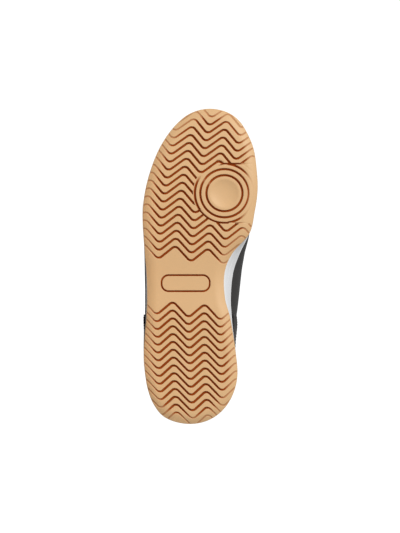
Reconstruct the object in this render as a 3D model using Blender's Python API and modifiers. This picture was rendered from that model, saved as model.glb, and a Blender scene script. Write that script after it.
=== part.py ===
"""A right low court sneaker, lying on its lateral side with its toe toward -X and its sole toward -Y.

It is worked out as it stands, toe toward -X, lateral side toward +Y and +Z up. The stance empty at the
end lays it on its side. Lengths are in metres.
"""

import math

import bmesh
import bpy
from mathutils import Matrix, Vector
from mathutils.bvhtree import BVHTree

for old in list(bpy.data.objects):
    bpy.data.objects.remove(old, do_unlink=True)

MM = 0.001

# Driving sizes
SOLE_LENGTH = 300 * MM
BALL_WIDTH = 109 * MM
INSTEP_HEIGHT = 100 * MM
CLEARANCE = 0.3 * MM

# Sole
OUTSOLE_THICKNESS = 6 * MM
EDGE_ROLL_WIDTH = 10 * MM
EDGE_ROLL_HEIGHT = 3.6 * MM
TOE_SPRING = 9 * MM
ARCH_LIFT = 2 * MM
HEEL_BEVEL = 1.5 * MM
CUP_HEIGHT = 21 * MM
CUP_WALL = 3.5 * MM
CUP_FLOOR = 8 * MM
LIP_HEIGHT = 4 * MM
LIP_RAISE = 0.8 * MM

# Tread
ROW_PITCH = 7.5 * MM
WAVE_PERIOD = 30.3 * MM
WAVE_HEIGHT = 13 * MM
GROOVE_WIDTH = 1.9 * MM
GROOVE_FLOOR_WIDTH = 1.2 * MM
GROOVE_DEPTH = 1.6 * MM
PIVOT_DISH_RADIUS = 13.2 * MM
PIVOT_DISH_DEPTH = 1 * MM
PIVOT_GROOVE_RADII = (17 * MM, 22.7 * MM, 28 * MM)
FRAME_LENGTH = 45.6 * MM
FRAME_WIDTH = 15.2 * MM
FRAME_LINE = 1.1 * MM
FRAME_DEPTH = 0.6 * MM

# Upper and what lies on it and in it
WALL = 2 * MM
OVERLAY = 1.2 * MM
COLLAR_PAD = 2.2 * MM
OVERLAY_GAP = 0.4 * MM
INSOLE_THICKNESS = 4 * MM
TONGUE_THICKNESS = 4.5 * MM
EYELET_DIAMETER = 4.5 * MM
EYELET_PAIRS = 6
LACE_WIDTH = 7 * MM
LACE_THICKNESS = 1.4 * MM

# The sole seen from below. along is the share of SOLE_LENGTH from the toe. The others are shares of
# BALL_WIDTH out from the fore-and-aft line, for the gum rubber and for the rim of the white side wall.
OUTLINE_COLUMNS = ("along", "gum_lateral", "gum_medial", "wall_lateral", "wall_medial")
OUTLINE = (
    (0.0000, -0.130, 0.130, -0.130, 0.130),
    (0.0145, 0.039, 0.299, 0.039, 0.299),
    (0.040, 0.136, 0.388, 0.136, 0.388),
    (0.080, 0.232, 0.458, 0.232, 0.458),
    (0.130, 0.315, 0.512, 0.315, 0.512),
    (0.190, 0.382, 0.536, 0.382, 0.536),
    (0.260, 0.434, 0.545, 0.434, 0.545),
    (0.330, 0.457, 0.519, 0.457, 0.519),
    (0.400, 0.450, 0.464, 0.454, 0.470),
    (0.460, 0.438, 0.326, 0.446, 0.392),
    (0.520, 0.423, 0.258, 0.441, 0.335),
    (0.600, 0.417, 0.260, 0.434, 0.313),
    (0.660, 0.424, 0.304, 0.437, 0.321),
    (0.720, 0.438, 0.337, 0.443, 0.340),
    (0.780, 0.447, 0.362, 0.448, 0.362),
    (0.840, 0.436, 0.370, 0.436, 0.370),
    (0.890, 0.412, 0.346, 0.412, 0.346),
    (0.940, 0.357, 0.278, 0.357, 0.278),
    (0.980, 0.258, 0.160, 0.258, 0.160),
    (1.000, 0.043, -0.043, 0.043, -0.043),
)

# The tread's main line of wave crests. along and across are as above, and tilt is the rows' turn in
# degrees, medial side toward the heel.
CREST_COLUMNS = ("along", "across", "tilt")
CRESTS = (
    (0.00, -0.030, 8.0),
    (0.10, 0.042, 8.0),
    (0.20, 0.093, 7.0),
    (0.30, 0.137, 6.0),
    (0.40, 0.165, 5.5),
    (0.50, 0.180, 5.5),
    (0.60, 0.194, 5.2),
    (0.75, 0.190, 5.0),
    (0.90, 0.172, 5.0),
    (1.00, 0.152, 5.0),
)
FOREFOOT_TREAD = (0.0, 0.437)
HEEL_TREAD = (0.612, 0.975)

# The upper's sections. turn is the share of the way round from the toe to the heel, along either side.
# top_along is a share of SOLE_LENGTH from the toe, and top_axis and top_half are shares of BALL_WIDTH:
# where the last's middle line lies, lateral side positive, and how far from it the top line runs.
# top_height is a share of INSTEP_HEIGHT. The others shape each section, as shares of BALL_WIDTH: how far
# it swells over the side wall, and how far out of and below its top line it starts to fall.
SECTION_COLUMNS = (
    "turn", "top_along", "top_axis", "top_half", "top_height",
    "swell_lateral", "swell_medial", "rise", "shoulder_out", "shoulder_down",
)
SECTIONS = (
    (0.00, 0.307, -0.035, 0.000, 0.660, 0.000, 0.000, 0.150, 0.340, 0.050),
    (0.15, 0.310, -0.035, 0.055, 0.665, 0.010, 0.010, 0.155, 0.280, 0.060),
    (0.25, 0.320, -0.034, 0.100, 0.690, 0.025, 0.025, 0.165, 0.200, 0.070),
    (0.35, 0.350, -0.032, 0.132, 0.745, 0.045, 0.060, 0.185, 0.165, 0.090),
    (0.42, 0.420, -0.025, 0.158, 0.825, 0.060, 0.130, 0.195, 0.140, 0.105),
    (0.50, 0.515, -0.015, 0.185, 0.925, 0.085, 0.215, 0.175, 0.120, 0.130),
    (0.56, 0.600, -0.005, 0.208, 1.000, 0.100, 0.235, 0.170, 0.085, 0.150),
    (0.62, 0.668, 0.010, 0.275, 0.945, 0.105, 0.200, 0.180, 0.045, 0.145),
    (0.70, 0.752, 0.020, 0.325, 0.810, 0.095, 0.110, 0.175, 0.020, 0.125),
    (0.80, 0.850, 0.030, 0.310, 0.775, 0.060, 0.060, 0.170, 0.020, 0.110),
    (0.90, 0.925, 0.040, 0.215, 0.840, 0.040, 0.040, 0.180, 0.000, 0.150),
    (1.00, 0.962, 0.043, 0.000, 0.910, 0.040, 0.040, 0.180, -0.010, 0.180),
)

LOOP_POINTS = 64
SECTION_STEPS = 9


def values(columns, rows, name):
    return [row[columns.index(name)] for row in rows]


def smooth(xs, ys, x):
    """The smooth curve through the points (xs, ys), at x."""
    x = min(max(x, xs[0]), xs[-1])
    k = max(i for i in range(len(xs) - 1) if xs[i] <= x)

    def slope(i):
        low = max(i - 1, 0)
        high = min(i + 1, len(xs) - 1)
        return (ys[high] - ys[low]) / (xs[high] - xs[low])

    span = xs[k + 1] - xs[k]
    t = (x - xs[k]) / span
    return (
        (1 + 2 * t) * (1 - t) ** 2 * ys[k] + t * (1 - t) ** 2 * span * slope(k)
        + t * t * (3 - 2 * t) * ys[k + 1] + t * t * (t - 1) * span * slope(k + 1)
    )


def along_of(share):
    """The fore-and-aft place of a share of the sole's length from the toe."""
    return (share - 0.5) * SOLE_LENGTH


def share_of(x):
    return x / SOLE_LENGTH + 0.5


def outline(kind):
    """The loop of the gum or the wall, as a function of the angle round it: 0 at the toe, positive on
    the lateral side and pi at the heel."""
    angles = [math.acos(1 - 2 * share) for share in values(OUTLINE_COLUMNS, OUTLINE, "along")]
    lateral = values(OUTLINE_COLUMNS, OUTLINE, kind + "_lateral")
    medial = values(OUTLINE_COLUMNS, OUTLINE, kind + "_medial")
    angles = [-a for a in angles[:0:-1]] + angles + [2 * math.pi - angles[-2]]
    across = [-m for m in medial[:0:-1]] + lateral + [-medial[-2]]
    angles.insert(0, -angles[-1])
    across.insert(0, lateral[-2])
    return lambda angle: Vector((
        -SOLE_LENGTH / 2 * math.cos(angle),
        BALL_WIDTH * smooth(angles, across, angle),
    ))


GUM = outline("gum")
WALL_RIM = outline("wall")


def inset(loop, angle, distance):
    """The point of a loop moved inward by a distance, square to the loop."""
    step = 0.01
    tangent = (loop(angle + step) - loop(angle - step)).normalized()
    return loop(angle) + distance * Vector((tangent.y, -tangent.x))


def spring(x):
    """The rise of the whole sole toward its toe."""
    return max(0.0, (0.33 - share_of(x)) / 0.33) ** 2 * TOE_SPRING


def ground(x):
    """The height of the sole's bottom: toe spring, flat ball, arch, flat heel and heel bevel."""
    share = share_of(x)
    arch = max(0.0, 1 - ((share - 0.535) / 0.13) ** 2) ** 2 * ARCH_LIFT
    heel = max(0.0, (share - 0.90) / 0.10) ** 2 * HEEL_BEVEL
    return spring(x) + arch + heel


def at(point, height):
    """A plan point raised to a height above the sole's bottom there."""
    return Vector((point.x, point.y, ground(point.x) + height))


def over(point, height):
    """A plan point raised to a height above the floor line, which has the toe spring but no arch."""
    return Vector((point.x, point.y, spring(point.x) + height))


ANGLES = [math.pi * (2 * j / LOOP_POINTS - 1) for j in range(LOOP_POINTS)]


# Building helpers

parts = bpy.data.collections.new("sneaker")
cutters = bpy.data.collections.new("cutters")
bpy.context.scene.collection.children.link(parts)
bpy.context.scene.collection.children.link(cutters)
cutters.hide_render = True
stance = bpy.data.objects.new("stance", None)
parts.objects.link(stance)


def material(name, colour, roughness):
    made = bpy.data.materials.new(name)
    made.use_nodes = True
    shader = made.node_tree.nodes["Principled BSDF"]
    shader.inputs["Base Color"].default_value = (*colour, 1)
    shader.inputs["Roughness"].default_value = roughness
    shader.inputs["Metallic"].default_value = 0
    return made


def add(name, shape, finish=None):
    """Makes a part from a bmesh, or a cutter where there is no finish."""
    bmesh.ops.recalc_face_normals(shape, faces=shape.faces)
    if shape.calc_volume(signed=True) < 0:
        bmesh.ops.reverse_faces(shape, faces=shape.faces)
    mesh = bpy.data.meshes.new(name)
    shape.to_mesh(mesh)
    shape.free()
    made = bpy.data.objects.new(name, mesh)
    made.parent = stance
    if finish:
        parts.objects.link(made)
        mesh.materials.append(finish)
        mesh.shade_smooth()
        mesh.set_sharp_from_angle(angle=math.radians(35))
    else:
        cutters.objects.link(made)
        made.hide_render = True
        made.display_type = "WIRE"
    return made


def cut(target, cutter, operation="DIFFERENCE"):
    boolean = target.modifiers.new(cutter.name, "BOOLEAN")
    boolean.object = cutter
    boolean.operation = operation
    boolean.solver = "EXACT"


def loft(shape, rings, closed):
    """Skins a row of rings with the same number of points. closed says that each ring is a loop."""
    made = [[shape.verts.new(point) for point in ring] for ring in rings]
    count = len(made[0])
    for lower, upper in zip(made, made[1:]):
        for j in range(count if closed else count - 1):
            k = (j + 1) % count
            shape.faces.new((lower[j], lower[k], upper[k], upper[j]))
    return made


def cap(shape, ring):
    """Closes a loop round the sole with straight strips from its medial to its lateral side."""
    count = len(ring)
    for j in range(count // 2):
        corners = []
        for index in (j, j + 1, count - j - 1, (count - j) % count):
            if ring[index] not in corners:
                corners.append(ring[index])
        shape.faces.new(corners)


def plate(name, loops, finish):
    """A solid whose skin is a row of loops round the sole, capped at both ends."""
    shape = bmesh.new()
    rings = loft(shape, loops, closed=True)
    cap(shape, rings[0])
    cap(shape, rings[-1])
    return add(name, shape, finish)


gum_rubber = material("gum_rubber", (0.62, 0.36, 0.16), 0.45)
white_rubber = material("white_rubber", (0.75, 0.75, 0.74), 0.5)
dark_leather = material("dark_leather", (0.035, 0.034, 0.033), 0.55)
dark_trim = material("dark_trim", (0.028, 0.027, 0.027), 0.5)
dark_mesh = material("dark_mesh", (0.02, 0.02, 0.02), 0.85)
footbed_fabric = material("footbed_fabric", (0.09, 0.09, 0.09), 0.9)
lace_fabric = material("lace_fabric", (0.04, 0.04, 0.04), 0.9)


# Outsole: the gum plate, rolled up at its edge

def roll(distance):
    """How far the sole's bottom curves up at a distance in from its edge."""
    return EDGE_ROLL_HEIGHT * max(0.0, 1 - distance / EDGE_ROLL_WIDTH) ** 2


outsole_loops = [
    [at(inset(GUM, a, d), roll(d)) for a in ANGLES]
    for d in (EDGE_ROLL_WIDTH, 0.45 * EDGE_ROLL_WIDTH, 0.0)
]
outsole_loops.append([over(GUM(a), OUTSOLE_THICKNESS) for a in ANGLES])
outsole = plate("outsole", outsole_loops, gum_rubber)


# Tread: rows of zigzag grooves, which stop short of the pivot circle

CREST_SHARES = values(CREST_COLUMNS, CRESTS, "along")


def row_point(share, step):
    """Corner number step of the zigzag row whose main crest is at a share of the length."""
    across = smooth(CREST_SHARES, values(CREST_COLUMNS, CRESTS, "across"), share)
    tilt = math.radians(smooth(CREST_SHARES, values(CREST_COLUMNS, CRESTS, "tilt"), share))
    side = step * WAVE_PERIOD / 2
    back = WAVE_HEIGHT * (step % 2)
    return Vector((
        along_of(share) + side * math.sin(tilt) + back * math.cos(tilt),
        across * BALL_WIDTH - side * math.cos(tilt) + back * math.sin(tilt),
    ))


def groove(shape, points, width, floor_width, depth, closed=False):
    """A channel with sloping sides along a plan line, cut up into the sole's bottom."""
    below = 4 * MM
    spread = (width - floor_width) / depth * below / 2
    rings = []
    count = len(points)
    for i, point in enumerate(points):
        before = points[(i - 1) % count] if closed or i else point
        after = points[(i + 1) % count] if closed or i < count - 1 else point
        tangent = (after - before).normalized()
        side = Vector((-tangent.y, tangent.x))
        leg = (after - point if after != point else point - before).normalized()
        side /= max(0.4, abs(tangent.dot(leg)))
        rings.append([
            at(point - side * (width / 2 + spread), -below),
            at(point + side * (width / 2 + spread), -below),
            at(point + side * floor_width / 2, depth),
            at(point - side * floor_width / 2, depth),
        ])
    if closed:
        rings.append(rings[0])
    made = loft(shape, rings, closed=True)
    if closed:
        bmesh.ops.remove_doubles(shape, verts=shape.verts, dist=0.01 * MM)
    else:
        shape.faces.new(made[0])
        shape.faces.new(made[-1])


rows = bmesh.new()
reach = math.ceil(BALL_WIDTH / WAVE_PERIOD) + 1
for first, last in (FOREFOOT_TREAD, HEEL_TREAD):
    pitch = ROW_PITCH / SOLE_LENGTH
    if first == 0:
        shares = [last - i * pitch for i in range(int((last + WAVE_HEIGHT / SOLE_LENGTH) / pitch) + 1)]
    else:
        shares = [first + i * pitch for i in range(int((last - first) / pitch) + 1)]
    for share in shares:
        line = [row_point(share, step) for step in range(-reach, reach + 2)]
        groove(rows, line, GROOVE_WIDTH, GROOVE_FLOOR_WIDTH, GROOVE_DEPTH)
rows = add("tread_rows", rows)

PIVOT = Vector((along_of(0.2707), -0.255 * BALL_WIDTH))
PIVOT_OUTER = PIVOT_GROOVE_RADII[-1]
CIRCLE_POINTS = 24


def circle(radius, count=CIRCLE_POINTS):
    turns = [2 * math.pi * i / count for i in range(count)]
    return [PIVOT + radius * Vector((math.cos(t), math.sin(t))) for t in turns]


def prism(outline_points, low, high):
    shape = bmesh.new()
    rings = loft(shape, [[Vector((*p, z)) for p in outline_points] for z in (low, high)], closed=True)
    for ring in rings:
        shape.faces.new(ring)
    return shape


guard_radius = PIVOT_OUTER + GROOVE_WIDTH
half_turn = [math.pi * i / 12 for i in range(13)]
guard = [PIVOT + guard_radius * Vector((math.cos(t), math.sin(t))) for t in half_turn]
guard += [Vector((PIVOT.x - guard_radius, -BALL_WIDTH)), Vector((PIVOT.x + guard_radius, -BALL_WIDTH))]
cut(rows, add("pivot_guard", prism(guard, -20 * MM, 30 * MM)))
cut(outsole, rows)

rings_cutter = bmesh.new()
for radius in PIVOT_GROOVE_RADII:
    groove(rings_cutter, circle(radius), GROOVE_WIDTH, GROOVE_FLOOR_WIDTH, GROOVE_DEPTH, closed=True)
cut(outsole, add("pivot_rings", rings_cutter))

for name, side in (("break_front", -1), ("break_back", 1)):
    channel = bmesh.new()
    x = PIVOT.x + side * PIVOT_OUTER
    line = [Vector((x, PIVOT.y + GROOVE_WIDTH * 2)), Vector((x, -BALL_WIDTH))]
    groove(channel, line, GROOVE_WIDTH, GROOVE_FLOOR_WIDTH, 1.2 * GROOVE_DEPTH)
    cut(outsole, add(name, channel))

dish = bmesh.new()
bmesh.ops.create_cone(
    dish, cap_ends=True, segments=CIRCLE_POINTS, radius1=PIVOT_DISH_RADIUS * 1.5,
    radius2=PIVOT_DISH_RADIUS * 0.5, depth=2 * PIVOT_DISH_DEPTH,
    matrix=Matrix.Translation((*PIVOT, ground(PIVOT.x))),
)
cut(outsole, add("pivot_dish", dish))

FRAME_CENTRE = Vector((along_of(0.5546), 0.082 * BALL_WIDTH))
bend = FRAME_WIDTH / 2
frame_line = []
for side in (1, -1):
    for i in range(9):
        t = math.pi * i / 8
        frame_line.append(FRAME_CENTRE + Vector((
            side * bend * math.cos(t),
            side * (FRAME_LENGTH / 2 - bend + bend * math.sin(t)),
        )))
frame = bmesh.new()
groove(frame, frame_line, FRAME_LINE, FRAME_LINE * 0.6, FRAME_DEPTH, closed=True)
cut(outsole, add("waist_frame", frame))


# Midsole: the white cup, flared from the gum's edge out to its rim, with a raised lip

CUP_BOTTOM = OUTSOLE_THICKNESS + CLEARANCE
CUP_TOP = CUP_BOTTOM + CUP_HEIGHT
CUP_INSIDE = CUP_BOTTOM + CUP_FLOOR


def cup_loop(flare, distance, height):
    """A loop of the side wall. flare is 0 at the gum's edge and 1 at the rim."""
    loop = lambda angle: GUM(angle).lerp(WALL_RIM(angle), flare)
    return [over(inset(loop, a, distance), height) for a in ANGLES]


midsole = plate("midsole", [
    cup_loop(0, 0.5 * MM, CUP_BOTTOM),
    cup_loop(0.15, 0.2 * MM, CUP_BOTTOM + 1 * MM),
    cup_loop(0.65, 0, CUP_BOTTOM + 0.5 * CUP_HEIGHT),
    cup_loop(1, 0.3 * MM, CUP_TOP - LIP_HEIGHT),
    cup_loop(1, 0.3 * MM - LIP_RAISE, CUP_TOP - 0.85 * LIP_HEIGHT),
    cup_loop(1, 0.3 * MM - LIP_RAISE, CUP_TOP - 0.3 * LIP_HEIGHT),
    cup_loop(1, 1 * MM, CUP_TOP),
    cup_loop(1, CUP_WALL, CUP_TOP),
    cup_loop(1, CUP_WALL, CUP_INSIDE),
], white_rubber)


# Upper: a shell from inside the cup up to the top line

def section(name, turn):
    """A value of the upper's section at a turn. It runs smoothly over the toe and the heel."""
    turns = values(SECTION_COLUMNS, SECTIONS, "turn")
    column = values(SECTION_COLUMNS, SECTIONS, name)
    mirrored = -1 if name == "top_half" else 1
    turns = [-turns[1]] + turns + [2 - turns[-2]]
    column = [mirrored * column[1]] + column + [mirrored * column[-2]]
    return smooth(turns, column, turn)


UPPER_INSET = CUP_WALL + CLEARANCE
UPPER_BOTTOM = CUP_INSIDE + CLEARANCE


def upper_point(angle, t):
    """The upper's outer face. t is -1 at its bottom edge, 0 at the cup's rim and 1 at its top line."""
    foot = inset(WALL_RIM, angle, UPPER_INSET)
    low = over(foot, CUP_TOP + 0.5 * MM)
    if t < 0:
        return low.lerp(over(foot, UPPER_BOTTOM), -t)
    turn = abs(angle) / math.pi
    side = 1 if angle > 0 else -1
    top = Vector((
        along_of(section("top_along", turn)),
        BALL_WIDTH * (section("top_axis", turn) + side * section("top_half", turn)),
        INSTEP_HEIGHT * section("top_height", turn),
    ))
    out = Vector((low.x - top.x, low.y - top.y, 0)).normalized()
    swell = section("swell_lateral" if side > 0 else "swell_medial", turn)
    away = foot - inset(WALL_RIM, angle, UPPER_INSET + MM)
    away = Vector((*away.normalized(), 0))
    first = low + BALL_WIDTH * (swell * away + Vector((0, 0, section("rise", turn))))
    second = top + BALL_WIDTH * (
        section("shoulder_out", turn) * out - Vector((0, 0, section("shoulder_down", turn)))
    )
    s = 1 - t
    return s ** 3 * low + 3 * s * s * t * first + 3 * s * t * t * second + t ** 3 * top


def upper_normal(angle, t):
    """The direction out of the upper's face."""
    step = 0.02
    round_way = upper_point(angle + step, t) - upper_point(angle - step, t)
    up_way = upper_point(angle, min(t + step, 1)) - upper_point(angle, max(t - step, 0))
    return up_way.cross(round_way).normalized()


UPPER_STEPS = [-1, -0.35] + [i / SECTION_STEPS for i in range(SECTION_STEPS + 1)]


def sheet(name, rows_of_points, closed, finish, thickness, outward):
    """An open surface, its rows running upward or forward, made solid on one side."""
    shape = bmesh.new()
    loft(shape, rows_of_points, closed)
    bmesh.ops.reverse_faces(shape, faces=shape.faces)
    mesh = bpy.data.meshes.new(name)
    shape.to_mesh(mesh)
    shape.free()
    mesh.materials.append(finish)
    mesh.shade_smooth()
    mesh.set_sharp_from_angle(angle=math.radians(35))
    made = bpy.data.objects.new(name, mesh)
    made.parent = stance
    parts.objects.link(made)
    solid = made.modifiers.new("wall", "SOLIDIFY")
    solid.thickness = thickness
    solid.offset = 1 if outward else -1
    return made


def on_upper(angle, t, distance):
    """A point at a distance out from the upper's face."""
    return upper_point(angle, t) + distance * upper_normal(angle, t)


def step_below_top(angle, width):
    """The step of the section that lies a width down the face from the top line."""
    count = 60
    walked = 0.0
    here = upper_point(angle, 1)
    for i in range(1, count):
        t = 1 - i / count
        there = upper_point(angle, t)
        stride = (there - here).length
        if walked + stride >= width:
            return t + (1 - (width - walked) / stride) / count
        walked += stride
        here = there
    return 1 / count


upper = sheet("upper", [[upper_point(a, t) for a in ANGLES] for t in UPPER_STEPS], True,
              dark_leather, WALL, outward=False)


# Eyestay and collar: bands below the top line. Counter: a band above the cup round the heel

def turns_between(first, last):
    """The angles from one turn to another through the heel, or through the toe if first is negative."""
    step = 1 / (LOOP_POINTS / 2)
    inner = [i * step for i in range(math.ceil(first / step + 0.01), math.ceil(last / step - 0.01))]
    return [math.pi * turn for turn in [first] + inner + [last]]


def wrapped(angle):
    return angle - 2 * math.pi if angle > math.pi else angle


def band(name, angles, low, high, steps, finish, thickness):
    """An overlay on the upper. low and high give its edges' steps at each angle."""
    grid = []
    for i in range(steps + 1):
        row = []
        for angle in map(wrapped, angles):
            t = low(angle) + (high(angle) - low(angle)) * i / steps
            row.append(on_upper(angle, t, OVERLAY_GAP))
        grid.append(row)
    return sheet(name, grid, False, finish, thickness, outward=True)


EYESTAY_WIDTH = 18 * MM
EYESTAY_END = 0.575
COLLAR_WIDTH = 20 * MM
COLLAR_START = 0.582
COUNTER_START = 0.60
COUNTER_LOW = 0.10

eyestay = band("eyestay", turns_between(-EYESTAY_END, EYESTAY_END),
               lambda a: step_below_top(a, EYESTAY_WIDTH), lambda a: 1, 3, dark_trim, OVERLAY)
collar = band("collar", turns_between(COLLAR_START, 2 - COLLAR_START),
              lambda a: step_below_top(a, COLLAR_WIDTH), lambda a: 1, 3, dark_mesh, COLLAR_PAD)

# fill is the share of the way from the counter's low edge to the collar that it covers at a turn
COUNTER_COLUMNS = ("turn", "fill")
COUNTER_SHAPE = ((0.60, 0.12), (0.65, 0.52), (0.72, 0.80), (0.82, 0.94), (1.00, 1.00))


def counter_high(angle):
    fill = smooth(values(COUNTER_COLUMNS, COUNTER_SHAPE, "turn"),
                  values(COUNTER_COLUMNS, COUNTER_SHAPE, "fill"), abs(angle) / math.pi)
    below_collar = step_below_top(angle, COLLAR_WIDTH + 1.5 * MM)
    return COUNTER_LOW + fill * (below_collar - COUNTER_LOW)


counter = band("counter", turns_between(COUNTER_START, 2 - COUNTER_START),
               lambda a: COUNTER_LOW, counter_high, 5, dark_trim, OVERLAY)


# Eyelet holes, through the eyestay and the upper

EYELET_INSET = 8 * MM
EYELET_FIRST = 0.335
EYELET_LAST = 0.588
THROAT_ROWS = SECTIONS[:7]


def throat(name, share):
    """A section's value at a place along the throat."""
    return smooth(values(SECTION_COLUMNS, THROAT_ROWS, "top_along"),
                  values(SECTION_COLUMNS, THROAT_ROWS, name), share)


eyelets = []
for k in range(EYELET_PAIRS):
    share = EYELET_FIRST + (EYELET_LAST - EYELET_FIRST) * k / (EYELET_PAIRS - 1)
    angle = math.pi * throat("turn", share)
    eyelets.append([(side * angle, step_below_top(side * angle, EYELET_INSET)) for side in (1, -1)])

punch = bmesh.new()
for pair in eyelets:
    for angle, t in pair:
        out = upper_normal(angle, t)
        turn_to = out.to_track_quat("Z", "Y").to_matrix().to_4x4()
        bmesh.ops.create_cone(
            punch, cap_ends=True, segments=8, radius1=EYELET_DIAMETER / 2, radius2=EYELET_DIAMETER / 2,
            depth=6 * (WALL + OVERLAY), matrix=Matrix.Translation(upper_point(angle, t)) @ turn_to,
        )
punch = add("eyelet_punch", punch)
cut(eyestay, punch)
cut(upper, punch)


# Insole

INSOLE_INSET = UPPER_INSET + WALL + 2 * CLEARANCE
INSOLE_BOTTOM = CUP_INSIDE + CLEARANCE
insole = plate("insole", [
    [over(inset(WALL_RIM, a, INSOLE_INSET), INSOLE_BOTTOM) for a in ANGLES],
    [over(inset(WALL_RIM, a, INSOLE_INSET), INSOLE_BOTTOM + 0.7 * INSOLE_THICKNESS) for a in ANGLES],
    [over(inset(WALL_RIM, a, INSOLE_INSET + 1.5 * MM), INSOLE_BOTTOM + INSOLE_THICKNESS) for a in ANGLES],
], footbed_fabric)


# Tongue, from under the vamp to above the throat, at its middle line. half is a share of BALL_WIDTH,
# height of INSTEP_HEIGHT, and drop is how far its edges fall, as a share of its half width

TONGUE_COLUMNS = ("along", "half", "height", "drop")
TONGUE = (
    (0.265, 0.090, 0.590, 0.50),
    (0.310, 0.120, 0.640, 0.50),
    (0.350, 0.160, 0.725, 0.50),
    (0.420, 0.205, 0.815, 0.50),
    (0.515, 0.230, 0.920, 0.50),
    (0.600, 0.230, 1.010, 0.45),
    (0.645, 0.225, 1.080, 0.35),
    (0.672, 0.205, 1.130, 0.28),
    (0.682, 0.160, 1.148, 0.24),
)
TONGUE_STEPS = 8

inner_shape = bmesh.new()
loft(inner_shape, [[on_upper(a, t, -WALL) for a in ANGLES] for t in UPPER_STEPS[2:]], closed=True)
inner_face = BVHTree.FromBMesh(inner_shape)
inner_shape.free()


def tongue(name, share):
    return smooth(values(TONGUE_COLUMNS, TONGUE, "along"), values(TONGUE_COLUMNS, TONGUE, name), share)


def tongue_axis(share):
    low, high = THROAT_ROWS[0][1], THROAT_ROWS[-1][1]
    return BALL_WIDTH * throat("top_axis", min(max(share, low), high))


def tongue_top(share, across):
    """The tongue's upper face, under the upper's inner face wherever that covers it."""
    half = BALL_WIDTH * tongue("half", share)
    height = INSTEP_HEIGHT * tongue("height", share)
    height -= tongue("drop", share) * half * (across / half) ** 2
    point = Vector((along_of(share), tongue_axis(share) + across, height))
    hit = inner_face.ray_cast(Vector((point.x, point.y, CUP_TOP)), Vector((0, 0, 1)))[0]
    if hit:
        point.z = min(point.z, hit.z - 4 * CLEARANCE)
    return point


tongue_shares = values(TONGUE_COLUMNS, TONGUE, "along")
tongue_shares = sorted(tongue_shares + [(a + b) / 2 for a, b in zip(tongue_shares, tongue_shares[1:])])
tongue_rows = []
for share in tongue_shares:
    half = BALL_WIDTH * tongue("half", share)
    tongue_rows.append([
        tongue_top(share, half * (2 * i / TONGUE_STEPS - 1)) for i in range(TONGUE_STEPS + 1)
    ])
tongue_part = sheet("tongue", tongue_rows, False, dark_mesh, TONGUE_THICKNESS, outward=False)


# Lace bars, from eyelet to eyelet over the tongue

LACE_LIFT = OVERLAY_GAP + OVERLAY + 2 * CLEARANCE + LACE_THICKNESS / 2


def lace_bar(name, pair):
    (lateral, t_lateral), (medial, t_medial) = pair
    share = section("top_along", lateral / math.pi)
    middle = tongue_top(share, 0) + Vector((0, 0, 4 * CLEARANCE + LACE_THICKNESS / 2))
    rim_lateral = on_upper(lateral, 1, LACE_LIFT + CLEARANCE)
    rim_medial = on_upper(medial, 1, LACE_LIFT + CLEARANCE)
    middle.z = max(middle.z, rim_lateral.z)
    route = [
        on_upper(lateral, t_lateral, LACE_LIFT),
        on_upper(lateral, (1 + t_lateral) / 2, LACE_LIFT),
        rim_lateral,
        middle,
        rim_medial,
        on_upper(medial, (1 + t_medial) / 2, LACE_LIFT),
        on_upper(medial, t_medial, LACE_LIFT),
    ]
    flat_way = (upper_point(lateral + 0.1, 1) - upper_point(lateral - 0.1, 1)).normalized()
    flat_way = Vector((flat_way.x, 0, flat_way.z)).normalized()
    shape = bmesh.new()
    rings = []
    for i, point in enumerate(route):
        before = route[max(i - 1, 0)]
        after = route[min(i + 1, len(route) - 1)]
        up = flat_way.cross(after - before).normalized()
        wide = flat_way * LACE_WIDTH / 2
        thick = up * LACE_THICKNESS / 2
        rings.append([point - wide - thick, point + wide - thick, point + wide + thick, point - wide + thick])
    made = loft(shape, rings, closed=True)
    shape.faces.new(made[0])
    shape.faces.new(made[-1])
    return add(name, shape, lace_fabric)


for k, pair in enumerate(eyelets):
    lace_bar(f"lace_{k + 1}", pair)


# The stance: the shoe lies on the face of its hull that is under its middle on the lateral side

bpy.context.view_layer.update()
graph = bpy.context.evaluated_depsgraph_get()
hull = bmesh.new()
weight = 0.0
moment = Vector((0, 0, 0))
for piece in parts.objects:
    if piece.type != "MESH":
        continue
    mesh = piece.evaluated_get(graph).to_mesh()
    mesh.calc_loop_triangles()
    for triangle in mesh.loop_triangles:
        a, b, c = (mesh.vertices[i].co for i in triangle.vertices)
        volume = a.dot(b.cross(c)) / 6
        weight += volume
        moment += volume * (a + b + c) / 4
    for vertex in mesh.vertices:
        hull.verts.new(vertex.co)
    piece.evaluated_get(graph).to_mesh_clear()
centre = moment / weight
skin = bmesh.ops.convex_hull(hull, input=hull.verts)["geom"]
facets = [face for face in skin if isinstance(face, bmesh.types.BMFace)]
bmesh.ops.recalc_face_normals(hull, faces=facets)


def height_over(face):
    return face.normal.dot(face.verts[0].co - centre)


def stands_on(face):
    """Whether the middle of the shoe lies over this face of the hull, on its lateral side."""
    if face.normal.y < 0.5:
        return False
    foot = centre + face.normal * height_over(face)
    corners = [v.co for v in face.verts]
    return all(
        (corners[(i + 1) % 3] - corners[i]).cross(foot - corners[i]).dot(face.normal) >= 0 for i in range(3)
    )


floor = next(face for face in facets if stands_on(face))
up = -floor.normal.copy()
ahead = (Vector((1, 0, 0)) - up.x * up).normalized()
aside = up.cross(ahead)
lay = Matrix((ahead, aside, up))
laid = [lay @ v.co for v in hull.verts]
low = [min(p[i] for p in laid) for i in range(3)]
high = [max(p[i] for p in laid) for i in range(3)]
hull.free()
stance.matrix_world = Matrix.Translation((
    -(low[0] + high[0]) / 2, -(low[1] + high[1]) / 2, -low[2],
)) @ lay.to_4x4()
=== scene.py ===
import math

import bmesh
import bpy
import numpy as np
from mathutils import Matrix, Vector
from mathutils.bvhtree import BVHTree
from mathutils.kdtree import KDTree


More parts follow.
